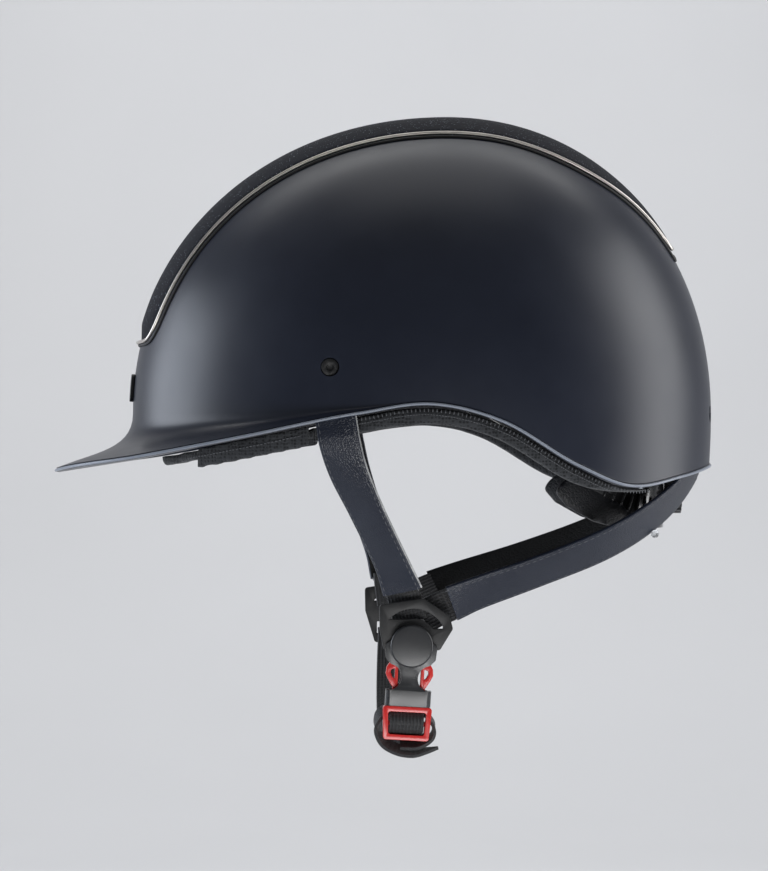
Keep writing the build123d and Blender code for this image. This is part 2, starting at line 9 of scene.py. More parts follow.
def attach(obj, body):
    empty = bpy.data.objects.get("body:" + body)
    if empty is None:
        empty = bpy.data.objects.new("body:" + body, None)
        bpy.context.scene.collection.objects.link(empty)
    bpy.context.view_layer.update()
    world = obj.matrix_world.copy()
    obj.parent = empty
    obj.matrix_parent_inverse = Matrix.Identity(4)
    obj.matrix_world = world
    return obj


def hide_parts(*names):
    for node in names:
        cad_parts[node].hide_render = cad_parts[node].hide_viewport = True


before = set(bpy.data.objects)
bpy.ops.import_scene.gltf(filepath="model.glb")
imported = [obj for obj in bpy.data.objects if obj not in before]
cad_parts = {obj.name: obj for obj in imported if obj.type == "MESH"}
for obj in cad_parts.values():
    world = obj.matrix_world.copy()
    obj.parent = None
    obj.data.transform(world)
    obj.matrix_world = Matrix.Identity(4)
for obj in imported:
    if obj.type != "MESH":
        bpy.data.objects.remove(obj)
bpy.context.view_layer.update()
MM = 0.001

# The dome, in millimetres, as the CAD shell has it
FRONT_REACH = 150.0
REAR_REACH = 126.5
HALF_WIDTH = 108.0
CROWN_Z = 161.6
WIDEST_X = 12.0
WIDEST_Z = 22.0
DOME_POWER = 2.08
SHELL_WALL = 3.0
FOOT_TAPER = 0.22          # how fast the dome draws in below its widest height
RIM = [(-190, -10), (-174, -5.6), (-130, 1.4), (-80, 10.7), (-29, 20.9), (4, 25),
       (34.6, 17.5), (69.4, -2.4), (93.5, -11.6), (120, -7.7), (150, 0.5)]
PEAK_REACH = 35.5
PEAK_FLARE = 22.0
PEAK_HALF_ANGLE = 82.0
PANEL_HALF = [(-146, 36), (-75, 39.5), (-20, 42), (30, 42.5), (80, 37), (118, 18)]
PANEL_FOOT_Z = 57.0
PANEL_PROUD = 2.4
STRAP_WIDTH = 19.0
STRAP_WALL = 2.2
WEBBING_WIDTH = 15.5
WEBBING_WALL = 1.5
RIVET_HOLE_R = 4.2


# ---------- curves and mesh helpers ----------

def smooth_through(points, x):
    """Value at x of the smooth curve through (x, value) points."""
    xs = [p[0] for p in points]
    ys = [p[1] for p in points]
    slopes = np.gradient(ys, xs)
    i = int(np.clip(np.searchsorted(xs, x) - 1, 0, len(xs) - 2))
    h = xs[i + 1] - xs[i]
    t = min(max((x - xs[i]) / h, 0.0), 1.0)
    a = (1 + 2 * t) * (1 - t) ** 2
    b = t * (1 - t) ** 2
    c = t * t * (3 - 2 * t)
    d = t * t * (t - 1)
    return a * ys[i] + b * h * slopes[i] + c * ys[i + 1] + d * h * slopes[i + 1]


def spline_points(points, steps):
    """Points along the smooth curve through 3-D points, steps for each span."""
    p = [np.array(q, float) for q in points]
    p = [2 * p[0] - p[1]] + p + [2 * p[-1] - p[-2]]
    out = []
    for i in range(1, len(p) - 2):
        for k in range(steps):
            t = k / steps
            out.append(0.5 * (2 * p[i] + (p[i + 1] - p[i - 1]) * t
                              + (2 * p[i - 1] - 5 * p[i] + 4 * p[i + 1] - p[i + 2]) * t ** 2
                              + (3 * p[i] - p[i - 1] - 3 * p[i + 1] + p[i + 2]) * t ** 3))
    out.append(p[-2])
    return out


def mesh_object(name, vertices, faces, material):
    mesh = bpy.data.meshes.new(name)
    mesh.from_pydata([tuple(v) for v in vertices], [], faces)
    mesh.validate()
    obj = bpy.data.objects.new(name, mesh)
    bpy.context.scene.collection.objects.link(obj)
    mesh.materials.append(material)
    return obj


def tidy_normals(obj, sharp=40.0):
    """Merge doubles, turn faces outward, shade smooth with real corners kept sharp."""
    bm = bmesh.new()
    bm.from_mesh(obj.data)
    bmesh.ops.remove_doubles(bm, verts=bm.verts, dist=1e-6)
    bmesh.ops.recalc_face_normals(bm, faces=bm.faces)
    limit = math.radians(sharp)
    for edge in bm.edges:
        edge.smooth = not (len(edge.link_faces) == 2 and edge.calc_face_angle(0) > limit)
    for face in bm.faces:
        face.smooth = True
    bm.to_mesh(obj.data)
    bm.free()
    return obj


def grid_faces(rows, columns, wrap_rows=False, wrap_columns=False):
    faces = []
    for i in range(rows if wrap_rows else rows - 1):
        for j in range(columns if wrap_columns else columns - 1):
            a = i * columns + j
            b = i * columns + (j + 1) % columns
            c = ((i + 1) % rows) * columns + (j + 1) % columns
            d = ((i + 1) % rows) * columns + j
            faces.append((a, b, c, d))
    return faces


def bake_modifiers(obj):
    """Turn an object's live modifiers into its plain mesh."""
    depsgraph = bpy.context.evaluated_depsgraph_get()
    mesh = bpy.data.meshes.new_from_object(obj.evaluated_get(depsgraph))
    old = obj.data
    obj.modifiers.clear()
    obj.data = mesh
    bpy.data.meshes.remove(old)
    return obj


# ---------- dome geometry ----------

def dome_height(x, y, inset=0.0):
    """Height of the dome's upper face over a place in plan."""
    reach = (REAR_REACH if x > WIDEST_X else FRONT_REACH) - inset
    rho = math.hypot((x - WIDEST_X) / reach, y / (HALF_WIDTH - inset))
    rise = CROWN_Z - WIDEST_Z - inset
    return WIDEST_Z + rise * max(1 - rho ** DOME_POWER, 0) ** (1 / DOME_POWER)


def rim_height(x):
    return smooth_through(RIM, x)


def wall_radius(z, rise):
    """Share of the full plan size that the dome has at height z."""
    up = (z - WIDEST_Z) / rise
    if up < 0:
        return 1 - FOOT_TAPER * up * up
    return max(1 - up ** DOME_POWER, 0) ** (1 / DOME_POWER)


def shell_profile(theta):
    """One upright outline of the shell: crown, outer wall, flare or rim, inner wall, crown."""
    c, s = math.cos(theta), math.sin(theta)
    reach = REAR_REACH if c > 0 else FRONT_REACH
    away = abs(math.degrees(math.atan2(s, -c)))
    fade = math.cos(math.radians(90 * min(away / PEAK_HALF_ANGLE, 1))) ** 1.3 if away < PEAK_HALF_ANGLE else 0.0
    out = Vector((c / reach, s / HALF_WIDTH, 0)).normalized()
    foot_z = rim_height(WIDEST_X + reach * c * 0.99)
    grow = 0.2 + (PEAK_REACH + 0.8) * fade
    rise = 2.4 + (PEAK_FLARE - 2.4) * fade
    height = CROWN_Z - WIDEST_Z
    start_z = foot_z + rise

    def wall(z, inset):
        k = wall_radius(z, height - inset)
        return Vector((WIDEST_X + (reach - inset) * c * k, (HALF_WIDTH - inset) * s * k, z))

    points = []
    low = (start_z - WIDEST_Z) / height
    low_t = math.asin(min(max(low, 0), 1) ** (DOME_POWER / 2))
    for i in range(1, 49):
        t = math.pi / 2 - (math.pi / 2 - low_t) * (i / 48)
        z = WIDEST_Z + height * math.sin(t) ** (2 / DOME_POWER)
        points.append(wall(max(z, start_z), 0))
    if low < 0:
        for i in range(1, 9):
            points.append(wall(WIDEST_Z + (start_z - WIDEST_Z) * i / 8, 0))
    else:
        points += [points[-1]] * 8
    base = points[-1].copy()
    tip_z = rim_height(base.x + out.x * grow)
    p0 = Vector((0, start_z))
    p3 = Vector((grow, tip_z + 1.9))
    p1 = p0 + Vector((0, -0.64 * (p0.y - p3.y) - 0.3))
    p2 = p3 - Vector((1, -0.40)) * (0.52 * grow)
    run = []
    for i in range(1, 15):
        t = i / 14
        run.append(p0 * (1 - t) ** 3 + p1 * 3 * t * (1 - t) ** 2 + p2 * 3 * t * t * (1 - t) + p3 * t ** 3)
    for turn in (-60, -25, 10, 50, 90):
        a = math.radians(turn)
        run.append(Vector((grow - 0.95 + 1.1 * math.cos(a), tip_z + 0.95 - 0.95 * math.sin(a))))
    for i in range(1, 9):
        t = i / 8
        run.append(Vector((grow - 0.95 + (-SHELL_WALL + 0.95 - grow) * t, tip_z + (foot_z - tip_z) * t)))
    for q in run:
        points.append(Vector((base.x + out.x * q.x, base.y + out.y * q.x, q.y)))
    inner_low = (foot_z + 1 - WIDEST_Z) / (height - SHELL_WALL)
    for i in range(1, 33):
        t = i / 33
        lift = inner_low + (1 - inner_low) * math.sin(t * math.pi / 2) ** 1.2
        points.append(wall(WIDEST_Z + (height - SHELL_WALL) * min(lift, 0.99999), SHELL_WALL))
    return points


def build_shell(material):
    turns = 288
    profiles = [shell_profile(2 * math.pi * i / turns) for i in range(turns)]
    count = len(profiles[0])
    vertices = [p * MM for profile in profiles for p in profile]
    faces = grid_faces(turns, count, wrap_rows=True)
    top = len(vertices)
    vertices.append(Vector((WIDEST_X, 0, CROWN_Z)) * MM)
    vertices.append(Vector((WIDEST_X, 0, CROWN_Z - SHELL_WALL)) * MM)
    for i in range(turns):
        j = (i + 1) % turns
        faces.append((top, j * count, i * count))
        faces.append((top + 1, i * count + count - 1, j * count + count - 1))
    shell = mesh_object("shell_with_peak", vertices, faces, material)
    tidy_normals(shell, 50)
    return shell


def bore(obj, holes):
    """Cut round holes, each a centre, an axis, a radius and a depth in metres."""
    for centre, axis, radius, depth in holes:
        bpy.ops.mesh.primitive_cylinder_add(vertices=64, radius=radius, depth=depth)
        cutter = bpy.context.object
        turn = Vector((0, 0, 1)).rotation_difference(Vector(axis)).to_matrix().to_4x4()
        cutter.data.transform(Matrix.Translation(centre) @ turn)
        cut = obj.modifiers.new("bore", "BOOLEAN")
        cut.object = cutter
        cut.solver = "EXACT"
        bake_modifiers(obj)
        bpy.data.objects.remove(cutter)
    return tidy_normals(obj, 50)


# ---------- shader groups ----------

def shader_group(name, inputs, outputs):
    """An empty shader group with named sockets; inputs are (label, kind, value)."""
    tree = bpy.data.node_groups.new(name, "ShaderNodeTree")
    for label, kind, value in inputs:
        socket = tree.interface.new_socket(name=label, in_out="INPUT", socket_type="NodeSocket" + kind)
        if value is not None:
            socket.default_value = value
    for label, kind in outputs:
        tree.interface.new_socket(name=label, in_out="OUTPUT", socket_type="NodeSocket" + kind)
    return tree, tree.nodes.new("NodeGroupInput"), tree.nodes.new("NodeGroupOutput")


def add(tree, kind, **settings):
    """Add a node, set its properties and its unlinked or linked inputs by name."""
    inputs = settings.pop("inputs", {})
    node = tree.nodes.new(kind)
    for key, value in settings.items():
        setattr(node, key, value)
    for key, value in inputs.items():
        socket = node.inputs[key]
        if isinstance(value, bpy.types.NodeSocket):
            tree.links.new(value, socket)
        else:
            socket.default_value = value
    return node


def math_node(tree, operation, a, b=0.0, c=0.0):
    return add(tree, "ShaderNodeMath", operation=operation, inputs={0: a, 1: b, 2: c}).outputs[0]


def remap(tree, value, low, high, to_low=0.0, to_high=1.0):
    return add(tree, "ShaderNodeMapRange", inputs={"Value": value, "From Min": low, "From Max": high,
                                                  "To Min": to_low, "To Max": to_high}).outputs["Result"]


def noise(tree, where, scale, detail, roughness=0.5):
    return add(tree, "ShaderNodeTexNoise", inputs={"Vector": where, "Scale": scale, "Detail": detail,
                                                   "Roughness": roughness}).outputs["Fac"]


def blend_colour(tree, share, a, b):
    node = add(tree, "ShaderNodeMix", data_type="RGBA")
    for index, value in ((0, share), (6, a), (7, b)):
        if isinstance(value, bpy.types.NodeSocket):
            tree.links.new(value, node.inputs[index])
        else:
            node.inputs[index].default_value = value
    return node.outputs[2]


def make_grain_group():
    """Moulded or painted surface: fine height, a slow patchiness mask."""
    tree, start, end = shader_group("surface grain", [("Vector", "Vector", None), ("Scale", "Float", 900.0)],
                                    [("Height", "Float"), ("Patches", "Float")])
    where = start.outputs["Vector"]
    tree.links.new(noise(tree, where, start.outputs["Scale"], 3.0, 0.6), end.inputs["Height"])
    tree.links.new(noise(tree, where, 22.0, 4.0, 0.65), end.inputs["Patches"])
    return tree


def make_wear_group():
    """Mask that rises on convex edges, broken up by a little noise."""
    tree, start, end = shader_group("edge wear", [("Vector", "Vector", None), ("Amount", "Float", 0.5)],
                                    [("Edge", "Float")])
    geometry = add(tree, "ShaderNodeNewGeometry")
    edge = remap(tree, geometry.outputs["Pointiness"], 0.51, 0.60)
    rough = remap(tree, noise(tree, start.outputs["Vector"], 260.0, 3.0), 0.35, 0.65)
    mask = math_node(tree, "MULTIPLY", math_node(tree, "MULTIPLY", edge, rough), start.outputs["Amount"])
    tree.links.new(mask, end.inputs["Edge"])
    return tree


def make_leather_group():
    """Leather grain: small rounded cells with creases between them."""
    tree, start, end = shader_group("leather grain", [("Vector", "Vector", None), ("Scale", "Float", 700.0)],
                                    [("Height", "Float"), ("Crease", "Float")])
    warp = add(tree, "ShaderNodeTexNoise",
               inputs={"Vector": start.outputs["Vector"], "Scale": 160.0, "Detail": 2.0})
    mixed = add(tree, "ShaderNodeVectorMath", operation="MULTIPLY_ADD",
                inputs={0: warp.outputs["Color"], 1: (0.0012, 0.0012, 0.0012), 2: start.outputs["Vector"]})
    cells = add(tree, "ShaderNodeTexVoronoi", feature="DISTANCE_TO_EDGE",
                inputs={"Vector": mixed.outputs[0], "Scale": start.outputs["Scale"]})
    height = remap(tree, cells.outputs["Distance"], 0.0, 0.22)
    total = math_node(tree, "MULTIPLY_ADD", noise(tree, start.outputs["Vector"], 1900.0, 2.0), 0.25, height)
    tree.links.new(total, end.inputs["Height"])
    tree.links.new(remap(tree, cells.outputs["Distance"], 0.10, 0.0), end.inputs["Crease"])
    return tree


def make_weave_group():
    """Plain weave over a flat pair of coordinates, in threads for each metre."""
    tree, start, end = shader_group("weave", [("Vector", "Vector", None), ("Across", "Float", 1200.0),
                                              ("Along", "Float", 1200.0)],
                                    [("Height", "Float"), ("Thread", "Float")])
    parts = add(tree, "ShaderNodeSeparateXYZ", inputs={0: start.outputs["Vector"]})
    u = math_node(tree, "MULTIPLY", parts.outputs[0], start.outputs["Across"])
    v = math_node(tree, "MULTIPLY", parts.outputs[1], start.outputs["Along"])
    cell = math_node(tree, "ADD", math_node(tree, "FLOOR", u), math_node(tree, "FLOOR", v))
    over = math_node(tree, "ABSOLUTE", math_node(tree, "MODULO", cell, 2.0))
    ridge_u = math_node(tree, "SINE", math_node(tree, "MULTIPLY", math_node(tree, "FRACT", u), math.pi))
    ridge_v = math_node(tree, "SINE", math_node(tree, "MULTIPLY", math_node(tree, "FRACT", v), math.pi))
    first = math_node(tree, "MULTIPLY", ridge_u, over)
    second = math_node(tree, "MULTIPLY", ridge_v, math_node(tree, "SUBTRACT", 1.0, over))
    height = math_node(tree, "ADD", first, second)
    tree.links.new(height, end.inputs["Height"])
    tree.links.new(remap(tree, height, 0.2, 0.9), end.inputs["Thread"])
    return tree


GRAIN = make_grain_group()
WEAR = make_wear_group()
LEATHER = make_leather_group()
WEAVE = make_weave_group()


# ---------- materials ----------

def start_material(name, uv=False):
    """A new material with its Principled shader and the coordinates its patterns read."""
    material = bpy.data.materials.new(name)
    material.use_nodes = True
    tree = material.node_tree
    shader = tree.nodes["Principled BSDF"]
    coordinates = add(tree, "ShaderNodeTexCoord")
    return material, tree, shader, coordinates.outputs["UV" if uv else "Object"]


def place_group(tree, group, **inputs):
    node = tree.nodes.new("ShaderNodeGroup")
    node.node_tree = group
    for key, value in inputs.items():
        if isinstance(value, bpy.types.NodeSocket):
            tree.links.new(value, node.inputs[key])
        else:
            node.inputs[key].default_value = value
    return node


def bumped(tree, shader, height, strength, distance):
    bump = add(tree, "ShaderNodeBump", inputs={"Height": height, "Strength": strength, "Distance": distance})
    tree.links.new(bump.outputs["Normal"], shader.inputs["Normal"])


def plastic(name, colour, worn, roughness, grain=0.12, scale=1500.0, wear=0.5, coat=0.0, spread=0.08):
    """Moulded plastic: fine grain, patchy gloss and lighter rubbed edges."""
    material, tree, shader, where = start_material(name)
    skin = place_group(tree, GRAIN, Vector=where, Scale=scale)
    edges = place_group(tree, WEAR, Vector=where, Amount=wear)
    tint = blend_colour(tree, remap(tree, skin.outputs["Patches"], 0.3, 0.7), colour + (1,),
                        tuple(min(c * 1.22 + 0.001, 1) for c in colour) + (1,))
    tree.links.new(blend_colour(tree, edges.outputs["Edge"], tint, worn + (1,)), shader.inputs["Base Color"])
    tree.links.new(remap(tree, skin.outputs["Patches"], 0.3, 0.7, roughness - spread, roughness + spread),
                   shader.inputs["Roughness"])
    shader.inputs["Coat Weight"].default_value = coat
    shader.inputs["Coat Roughness"].default_value = 0.12
    bumped(tree, shader, skin.outputs["Height"], grain, 0.0002)
    return material


def leather(name, colour, light, roughness, scale, depth):
    """Grained leather, lighter where it is rubbed and darker in its creases."""
    material, tree, shader, where = start_material(name)
    hide = place_group(tree, LEATHER, Vector=where, Scale=scale)
    skin = place_group(tree, GRAIN, Vector=where, Scale=420.0)
    edges = place_group(tree, WEAR, Vector=where, Amount=0.45)
    tint = blend_colour(tree, remap(tree, skin.outputs["Patches"], 0.35, 0.7), colour + (1,), light + (1,))
    dark = blend_colour(tree, math_node(tree, "MULTIPLY", hide.outputs["Crease"], 0.45), tint,
                        tuple(c * 0.45 for c in colour) + (1,))
    tree.links.new(blend_colour(tree, edges.outputs["Edge"], dark, tuple(c * 2.6 + 0.01 for c in light) + (1,)),
                   shader.inputs["Base Color"])
    tree.links.new(remap(tree, skin.outputs["Patches"], 0.3, 0.7, roughness - 0.07, roughness + 0.09),
                   shader.inputs["Roughness"])
    bumped(tree, shader, hide.outputs["Height"], 0.35, depth)
    return material


def make_shell_paint():
    """Satin navy shell: even colour, a very fine orange peel, slightly lighter worn edges."""
    material, tree, shader, where = start_material("satin navy shell")
    skin = place_group(tree, GRAIN, Vector=where, Scale=2600.0)
    edges = place_group(tree, WEAR, Vector=where, Amount=0.25)
    tint = blend_colour(tree, remap(tree, skin.outputs["Patches"], 0.3, 0.7),
                        (0.0075, 0.0108, 0.0225, 1), (0.0100, 0.0140, 0.0280, 1))
    tree.links.new(blend_colour(tree, edges.outputs["Edge"], tint, (0.05, 0.06, 0.08, 1)),
                   shader.inputs["Base Color"])
    tree.links.new(remap(tree, skin.outputs["Patches"], 0.3, 0.7, 0.34, 0.41), shader.inputs["Roughness"])
    shader.inputs["Specular IOR Level"].default_value = 0.5
    bumped(tree, shader, skin.outputs["Height"], 0.06, 0.0001)
    return material


def make_glitter_cloth():
    """Navy suede-like cloth with a fine glitter."""
    material, tree, shader, where = start_material("navy glitter cloth")
    flakes = add(tree, "ShaderNodeTexVoronoi", inputs={"Vector": where, "Scale": 1500.0})
    bright = add(tree, "ShaderNodeSeparateColor", inputs={0: flakes.outputs["Color"]})
    chosen = remap(tree, bright.outputs[0], 0.86, 0.93)
    core = remap(tree, flakes.outputs["Distance"], 0.32, 0.18)
    spark = math_node(tree, "MULTIPLY", chosen, core)
    nap = noise(tree, where, 600.0, 5.0, 0.7)
    cloth = blend_colour(tree, remap(tree, nap, 0.35, 0.7),
                         (0.0018, 0.0026, 0.006, 1), (0.0062, 0.0080, 0.0155, 1))
    toned = blend_colour(tree, remap(tree, noise(tree, where, 40.0, 3.0), 0.35, 0.65, 0, 0.5),
                         cloth, (0.0040, 0.0052, 0.0105, 1))
    tree.links.new(blend_colour(tree, spark, toned, (0.34, 0.37, 0.46, 1)), shader.inputs["Base Color"])
    tree.links.new(remap(tree, spark, 0.0, 1.0, 0.86, 0.28), shader.inputs["Roughness"])
    tree.links.new(remap(tree, spark, 0.0, 1.0, 0.0, 0.8), shader.inputs["Metallic"])
    shader.inputs["Specular IOR Level"].default_value = 0.22
    shader.inputs["Sheen Weight"].default_value = 0.03
    shader.inputs["Sheen Roughness"].default_value = 0.5
    bumped(tree, shader, nap, 0.5, 0.0004)
    return material


def metal(name, colour, dark, roughness):
    """Thin metal with a fine grain and faint dulled patches."""
    material, tree, shader, where = start_material(name)
    skin = place_group(tree, GRAIN, Vector=where, Scale=1800.0)
    dulled = remap(tree, skin.outputs["Patches"], 0.4, 0.75)
    tree.links.new(blend_colour(tree, dulled, colour + (1,), dark + (1,)), shader.inputs["Base Color"])
    shader.inputs["Metallic"].default_value = 1.0
    tree.links.new(remap(tree, skin.outputs["Patches"], 0.3, 0.7, roughness - 0.05, roughness + 0.1),
                   shader.inputs["Roughness"])
    bumped(tree, shader, skin.outputs["Height"], 0.08, 0.0001)
    return material


def make_foam():
    """Expanded beads pressed together, with darker lines between them."""
    material, tree, shader, where = start_material("expanded foam")
    beads = add(tree, "ShaderNodeTexVoronoi", feature="DISTANCE_TO_EDGE",
                inputs={"Vector": where, "Scale": 330.0})
    skin = place_group(tree, GRAIN, Vector=where, Scale=1200.0)
    seam = remap(tree, beads.outputs["Distance"], 0.0, 0.12)
    tree.links.new(blend_colour(tree, seam, (0.012, 0.012, 0.014, 1), (0.045, 0.045, 0.050, 1)),
                   shader.inputs["Base Color"])
    tree.links.new(remap(tree, skin.outputs["Patches"], 0.3, 0.7, 0.7, 0.85), shader.inputs["Roughness"])
    bumped(tree, shader, seam, 0.4, 0.0004)
    return material


def make_spacer_mesh():
    """Knitted spacer fabric: close rows of small dark holes between lighter yarns."""
    material, tree, shader, where = start_material("spacer mesh")
    holes = add(tree, "ShaderNodeTexVoronoi", distance="EUCLIDEAN",
                inputs={"Vector": where, "Scale": 620.0, "Randomness": 0.35})
    yarn = remap(tree, holes.outputs["Distance"], 0.20, 0.52)
    skin = place_group(tree, GRAIN, Vector=where, Scale=2500.0)
    tone = blend_colour(tree, remap(tree, skin.outputs["Patches"], 0.35, 0.65),
                        (0.024, 0.026, 0.030, 1), (0.042, 0.045, 0.050, 1))
    tree.links.new(blend_colour(tree, yarn, (0.008, 0.009, 0.011, 1), tone), shader.inputs["Base Color"])
    tree.links.new(remap(tree, skin.outputs["Height"], 0.3, 0.7, 0.75, 0.92), shader.inputs["Roughness"])
    shader.inputs["Sheen Weight"].default_value = 0.08
    bumped(tree, shader, yarn, 0.7, 0.0005)
    return material


def make_webbing(name, dark, light):
    """Ribbed polyester webbing: u runs along it and v across, both in metres."""
    material, tree, shader, where = start_material(name, uv=True)
    threads = place_group(tree, WEAVE, Vector=where, Across=900.0, Along=1300.0)
    parts = add(tree, "ShaderNodeSeparateXYZ", inputs={0: where})
    rib = math_node(tree, "SINE", math_node(tree, "MULTIPLY", parts.outputs[1], 2 * math.pi * 640.0))
    rib_height = remap(tree, rib, -1.0, 1.0)
    fuzz = noise(tree, where, 700.0, 4.0)
    height = math_node(tree, "MULTIPLY_ADD", threads.outputs["Height"], 0.55, rib_height)
    shade = math_node(tree, "MULTIPLY", remap(tree, height, 0.3, 1.4),
                      remap(tree, fuzz, 0.2, 0.8, 0.55, 1.0))
    tree.links.new(blend_colour(tree, shade, dark + (1,), light + (1,)), shader.inputs["Base Color"])
    tree.links.new(remap(tree, fuzz, 0.3, 0.7, 0.5, 0.72), shader.inputs["Roughness"])
    shader.inputs["Sheen Weight"].default_value = 0.2
    bumped(tree, shader, height, 0.8, 0.0003)
    return material


def make_clear():
    material, tree, shader, where = start_material("clear stud")
    skin = place_group(tree, GRAIN, Vector=where, Scale=900.0)
    tree.links.new(remap(tree, skin.outputs["Patches"], 0.3, 0.7, 0.03, 0.12), shader.inputs["Roughness"])
    shader.inputs["Base Color"].default_value = (0.86, 0.88, 0.90, 1)
    shader.inputs["Transmission Weight"].default_value = 0.85
    shader.inputs["IOR"].default_value = 1.49
    bumped(tree, shader, skin.outputs["Height"], 0.05, 0.0001)
    return material


PAINT = make_shell_paint()
GLITTER = make_glitter_cloth()
CHAMPAGNE = metal("champagne trim", (0.66, 0.62, 0.57), (0.46, 0.43, 0.40), 0.30)
GASKET = plastic("gasket rubber", (0.008, 0.008, 0.009), (0.03, 0.03, 0.03), 0.58,
                 grain=0.2, scale=1100.0, wear=0.2)
MATTE = plastic("matte black moulding", (0.0040, 0.0042, 0.0048), (0.040, 0.042, 0.046), 0.50,
                grain=0.28, scale=1700.0)
BUCKLE = plastic("satin dark grey moulding", (0.0170, 0.0180, 0.0200), (0.085, 0.088, 0.092), 0.33,
                 grain=0.16, scale=2100.0)
GLOSS = plastic("gloss black moulding", (0.0085, 0.0088, 0.0095), (0.045, 0.046, 0.050), 0.16,
                grain=0.03, coat=0.6, spread=0.04)
RED = plastic("red moulding", (0.52, 0.012, 0.012), (0.80, 0.10, 0.07), 0.30,
              grain=0.10, scale=1300.0, wear=0.6, coat=0.15)
# Painted highlight: a pale blue-grey colour standing in for the navy shell's lower edge lit from below
RIM_PAINTED_HIGHLIGHT = plastic("rim painted highlight", (0.19, 0.215, 0.26), (0.38, 0.40, 0.45), 0.34, grain=0.06, wear=0.3)
FOAM = make_foam()
MESH = make_spacer_mesh()
NAVY_HIDE = leather("navy leather", (0.0085, 0.0120, 0.0240), (0.014, 0.019, 0.034), 0.33, 950.0, 0.00025)
NAPE_HIDE = leather("nape leather", (0.0036, 0.0042, 0.0062), (0.0075, 0.0085, 0.0120), 0.50, 620.0, 0.0004)
INNER_HIDE = leather("black strap lining", (0.0016, 0.0016, 0.0018), (0.0030, 0.0030, 0.0036),
                     0.70, 500.0, 0.0004)
PIPING = leather("pale piping", (0.26, 0.265, 0.27), (0.36, 0.36, 0.36), 0.50, 1300.0, 0.0002)
WEBBING = make_webbing("black webbing", (0.0016, 0.0016, 0.0020), (0.026, 0.027, 0.031))
THREAD = plastic("pale thread", (0.10, 0.105, 0.115), (0.22, 0.22, 0.23), 0.62,
                 grain=0.5, scale=3000.0, wear=0.2)
CLEAR = make_clear()


# ---------- geometry node trees ----------

def geometry_tree(name, inputs):
    """A geometry node tree with a mesh in, named sizes, and a mesh out."""
    tree = bpy.data.node_groups.new(name, "GeometryNodeTree")
    tree.interface.new_socket(name="Mesh", in_out="INPUT", socket_type="NodeSocketGeometry")
    for label, kind, value in inputs:
        socket = tree.interface.new_socket(name=label, in_out="INPUT", socket_type="NodeSocket" + kind)
        if value is not None:
            socket.default_value = value
    tree.interface.new_socket(name="Mesh", in_out="OUTPUT", socket_type="NodeSocketGeometry")
    return tree, tree.nodes.new("NodeGroupInput"), tree.nodes.new("NodeGroupOutput")


def make_stitch_tree():
    """Small rounded stitches at even steps along an edge path, lying along or across it."""
    tree, start, end = geometry_tree("row of stitches", [
        ("Step", "Float", 0.003), ("Length", "Float", 0.002), ("Thickness", "Float", 0.0005),
        ("Turn", "Float", 0.0), ("Material", "Material", None)])
    curve = add(tree, "GeometryNodeMeshToCurve", inputs={0: start.outputs["Mesh"]})
    points = add(tree, "GeometryNodeResampleCurve", mode="LENGTH")
    tree.links.new(curve.outputs[0], points.inputs["Curve"])
    tree.links.new(start.outputs["Step"], points.inputs["Length"])
    grain = add(tree, "GeometryNodeMeshUVSphere", inputs={"Segments": 8, "Rings": 6, "Radius": 0.5})
    tangent = add(tree, "GeometryNodeInputTangent")
    facing = add(tree, "GeometryNodeInputNamedAttribute", data_type="FLOAT_VECTOR", inputs={"Name": "facing"})
    level = add(tree, "FunctionNodeAlignRotationToVector", axis="Z",
                inputs={"Vector": facing.outputs["Attribute"]})
    along = add(tree, "FunctionNodeAlignRotationToVector", axis="X", pivot_axis="Z",
                inputs={"Rotation": level.outputs[0], "Vector": tangent.outputs[0]})
    spin = add(tree, "FunctionNodeAxisAngleToRotation",
               inputs={"Axis": (0, 0, 1), "Angle": start.outputs["Turn"]})
    turned = add(tree, "FunctionNodeRotateRotation", rotation_space="LOCAL",
                 inputs={0: along.outputs[0], 1: spin.outputs[0]})
    size = add(tree, "ShaderNodeCombineXYZ", inputs={0: start.outputs["Length"], 1: start.outputs["Thickness"],
                                                    2: start.outputs["Thickness"]})
    placed = add(tree, "GeometryNodeInstanceOnPoints", inputs={
        "Points": points.outputs[0], "Instance": grain.outputs["Mesh"], "Rotation": turned.outputs[0],
        "Scale": size.outputs[0]})
    solid = add(tree, "GeometryNodeRealizeInstances", inputs={0: placed.outputs[0]})
    smooth = add(tree, "GeometryNodeSetShadeSmooth", inputs={0: solid.outputs[0]})
    finish = add(tree, "GeometryNodeSetMaterial",
                 inputs={0: smooth.outputs[0], "Material": start.outputs["Material"]})
    tree.links.new(finish.outputs[0], end.inputs[0])
    return tree


def make_cord_tree():
    """A round bead of even thickness swept along an edge path."""
    tree, start, end = geometry_tree("bead along a path", [
        ("Radius", "Float", 0.001), ("Sides", "Int", 12), ("Material", "Material", None)])
    curve = add(tree, "GeometryNodeMeshToCurve", inputs={0: start.outputs["Mesh"]})
    ring = add(tree, "GeometryNodeCurvePrimitiveCircle", inputs={"Resolution": start.outputs["Sides"],
                                                                 "Radius": start.outputs["Radius"]})
    sweep = add(tree, "GeometryNodeCurveToMesh",
                inputs={"Curve": curve.outputs[0], "Profile Curve": ring.outputs[0], "Fill Caps": True})
    smooth = add(tree, "GeometryNodeSetShadeSmooth", inputs={0: sweep.outputs[0]})
    finish = add(tree, "GeometryNodeSetMaterial",
                 inputs={0: smooth.outputs[0], "Material": start.outputs["Material"]})
    join = add(tree, "GeometryNodeRealizeInstances", inputs={0: finish.outputs[0]})
    tree.links.new(join.outputs[0], end.inputs[0])
    return tree


STITCHES = make_stitch_tree()
BEAD = make_cord_tree()


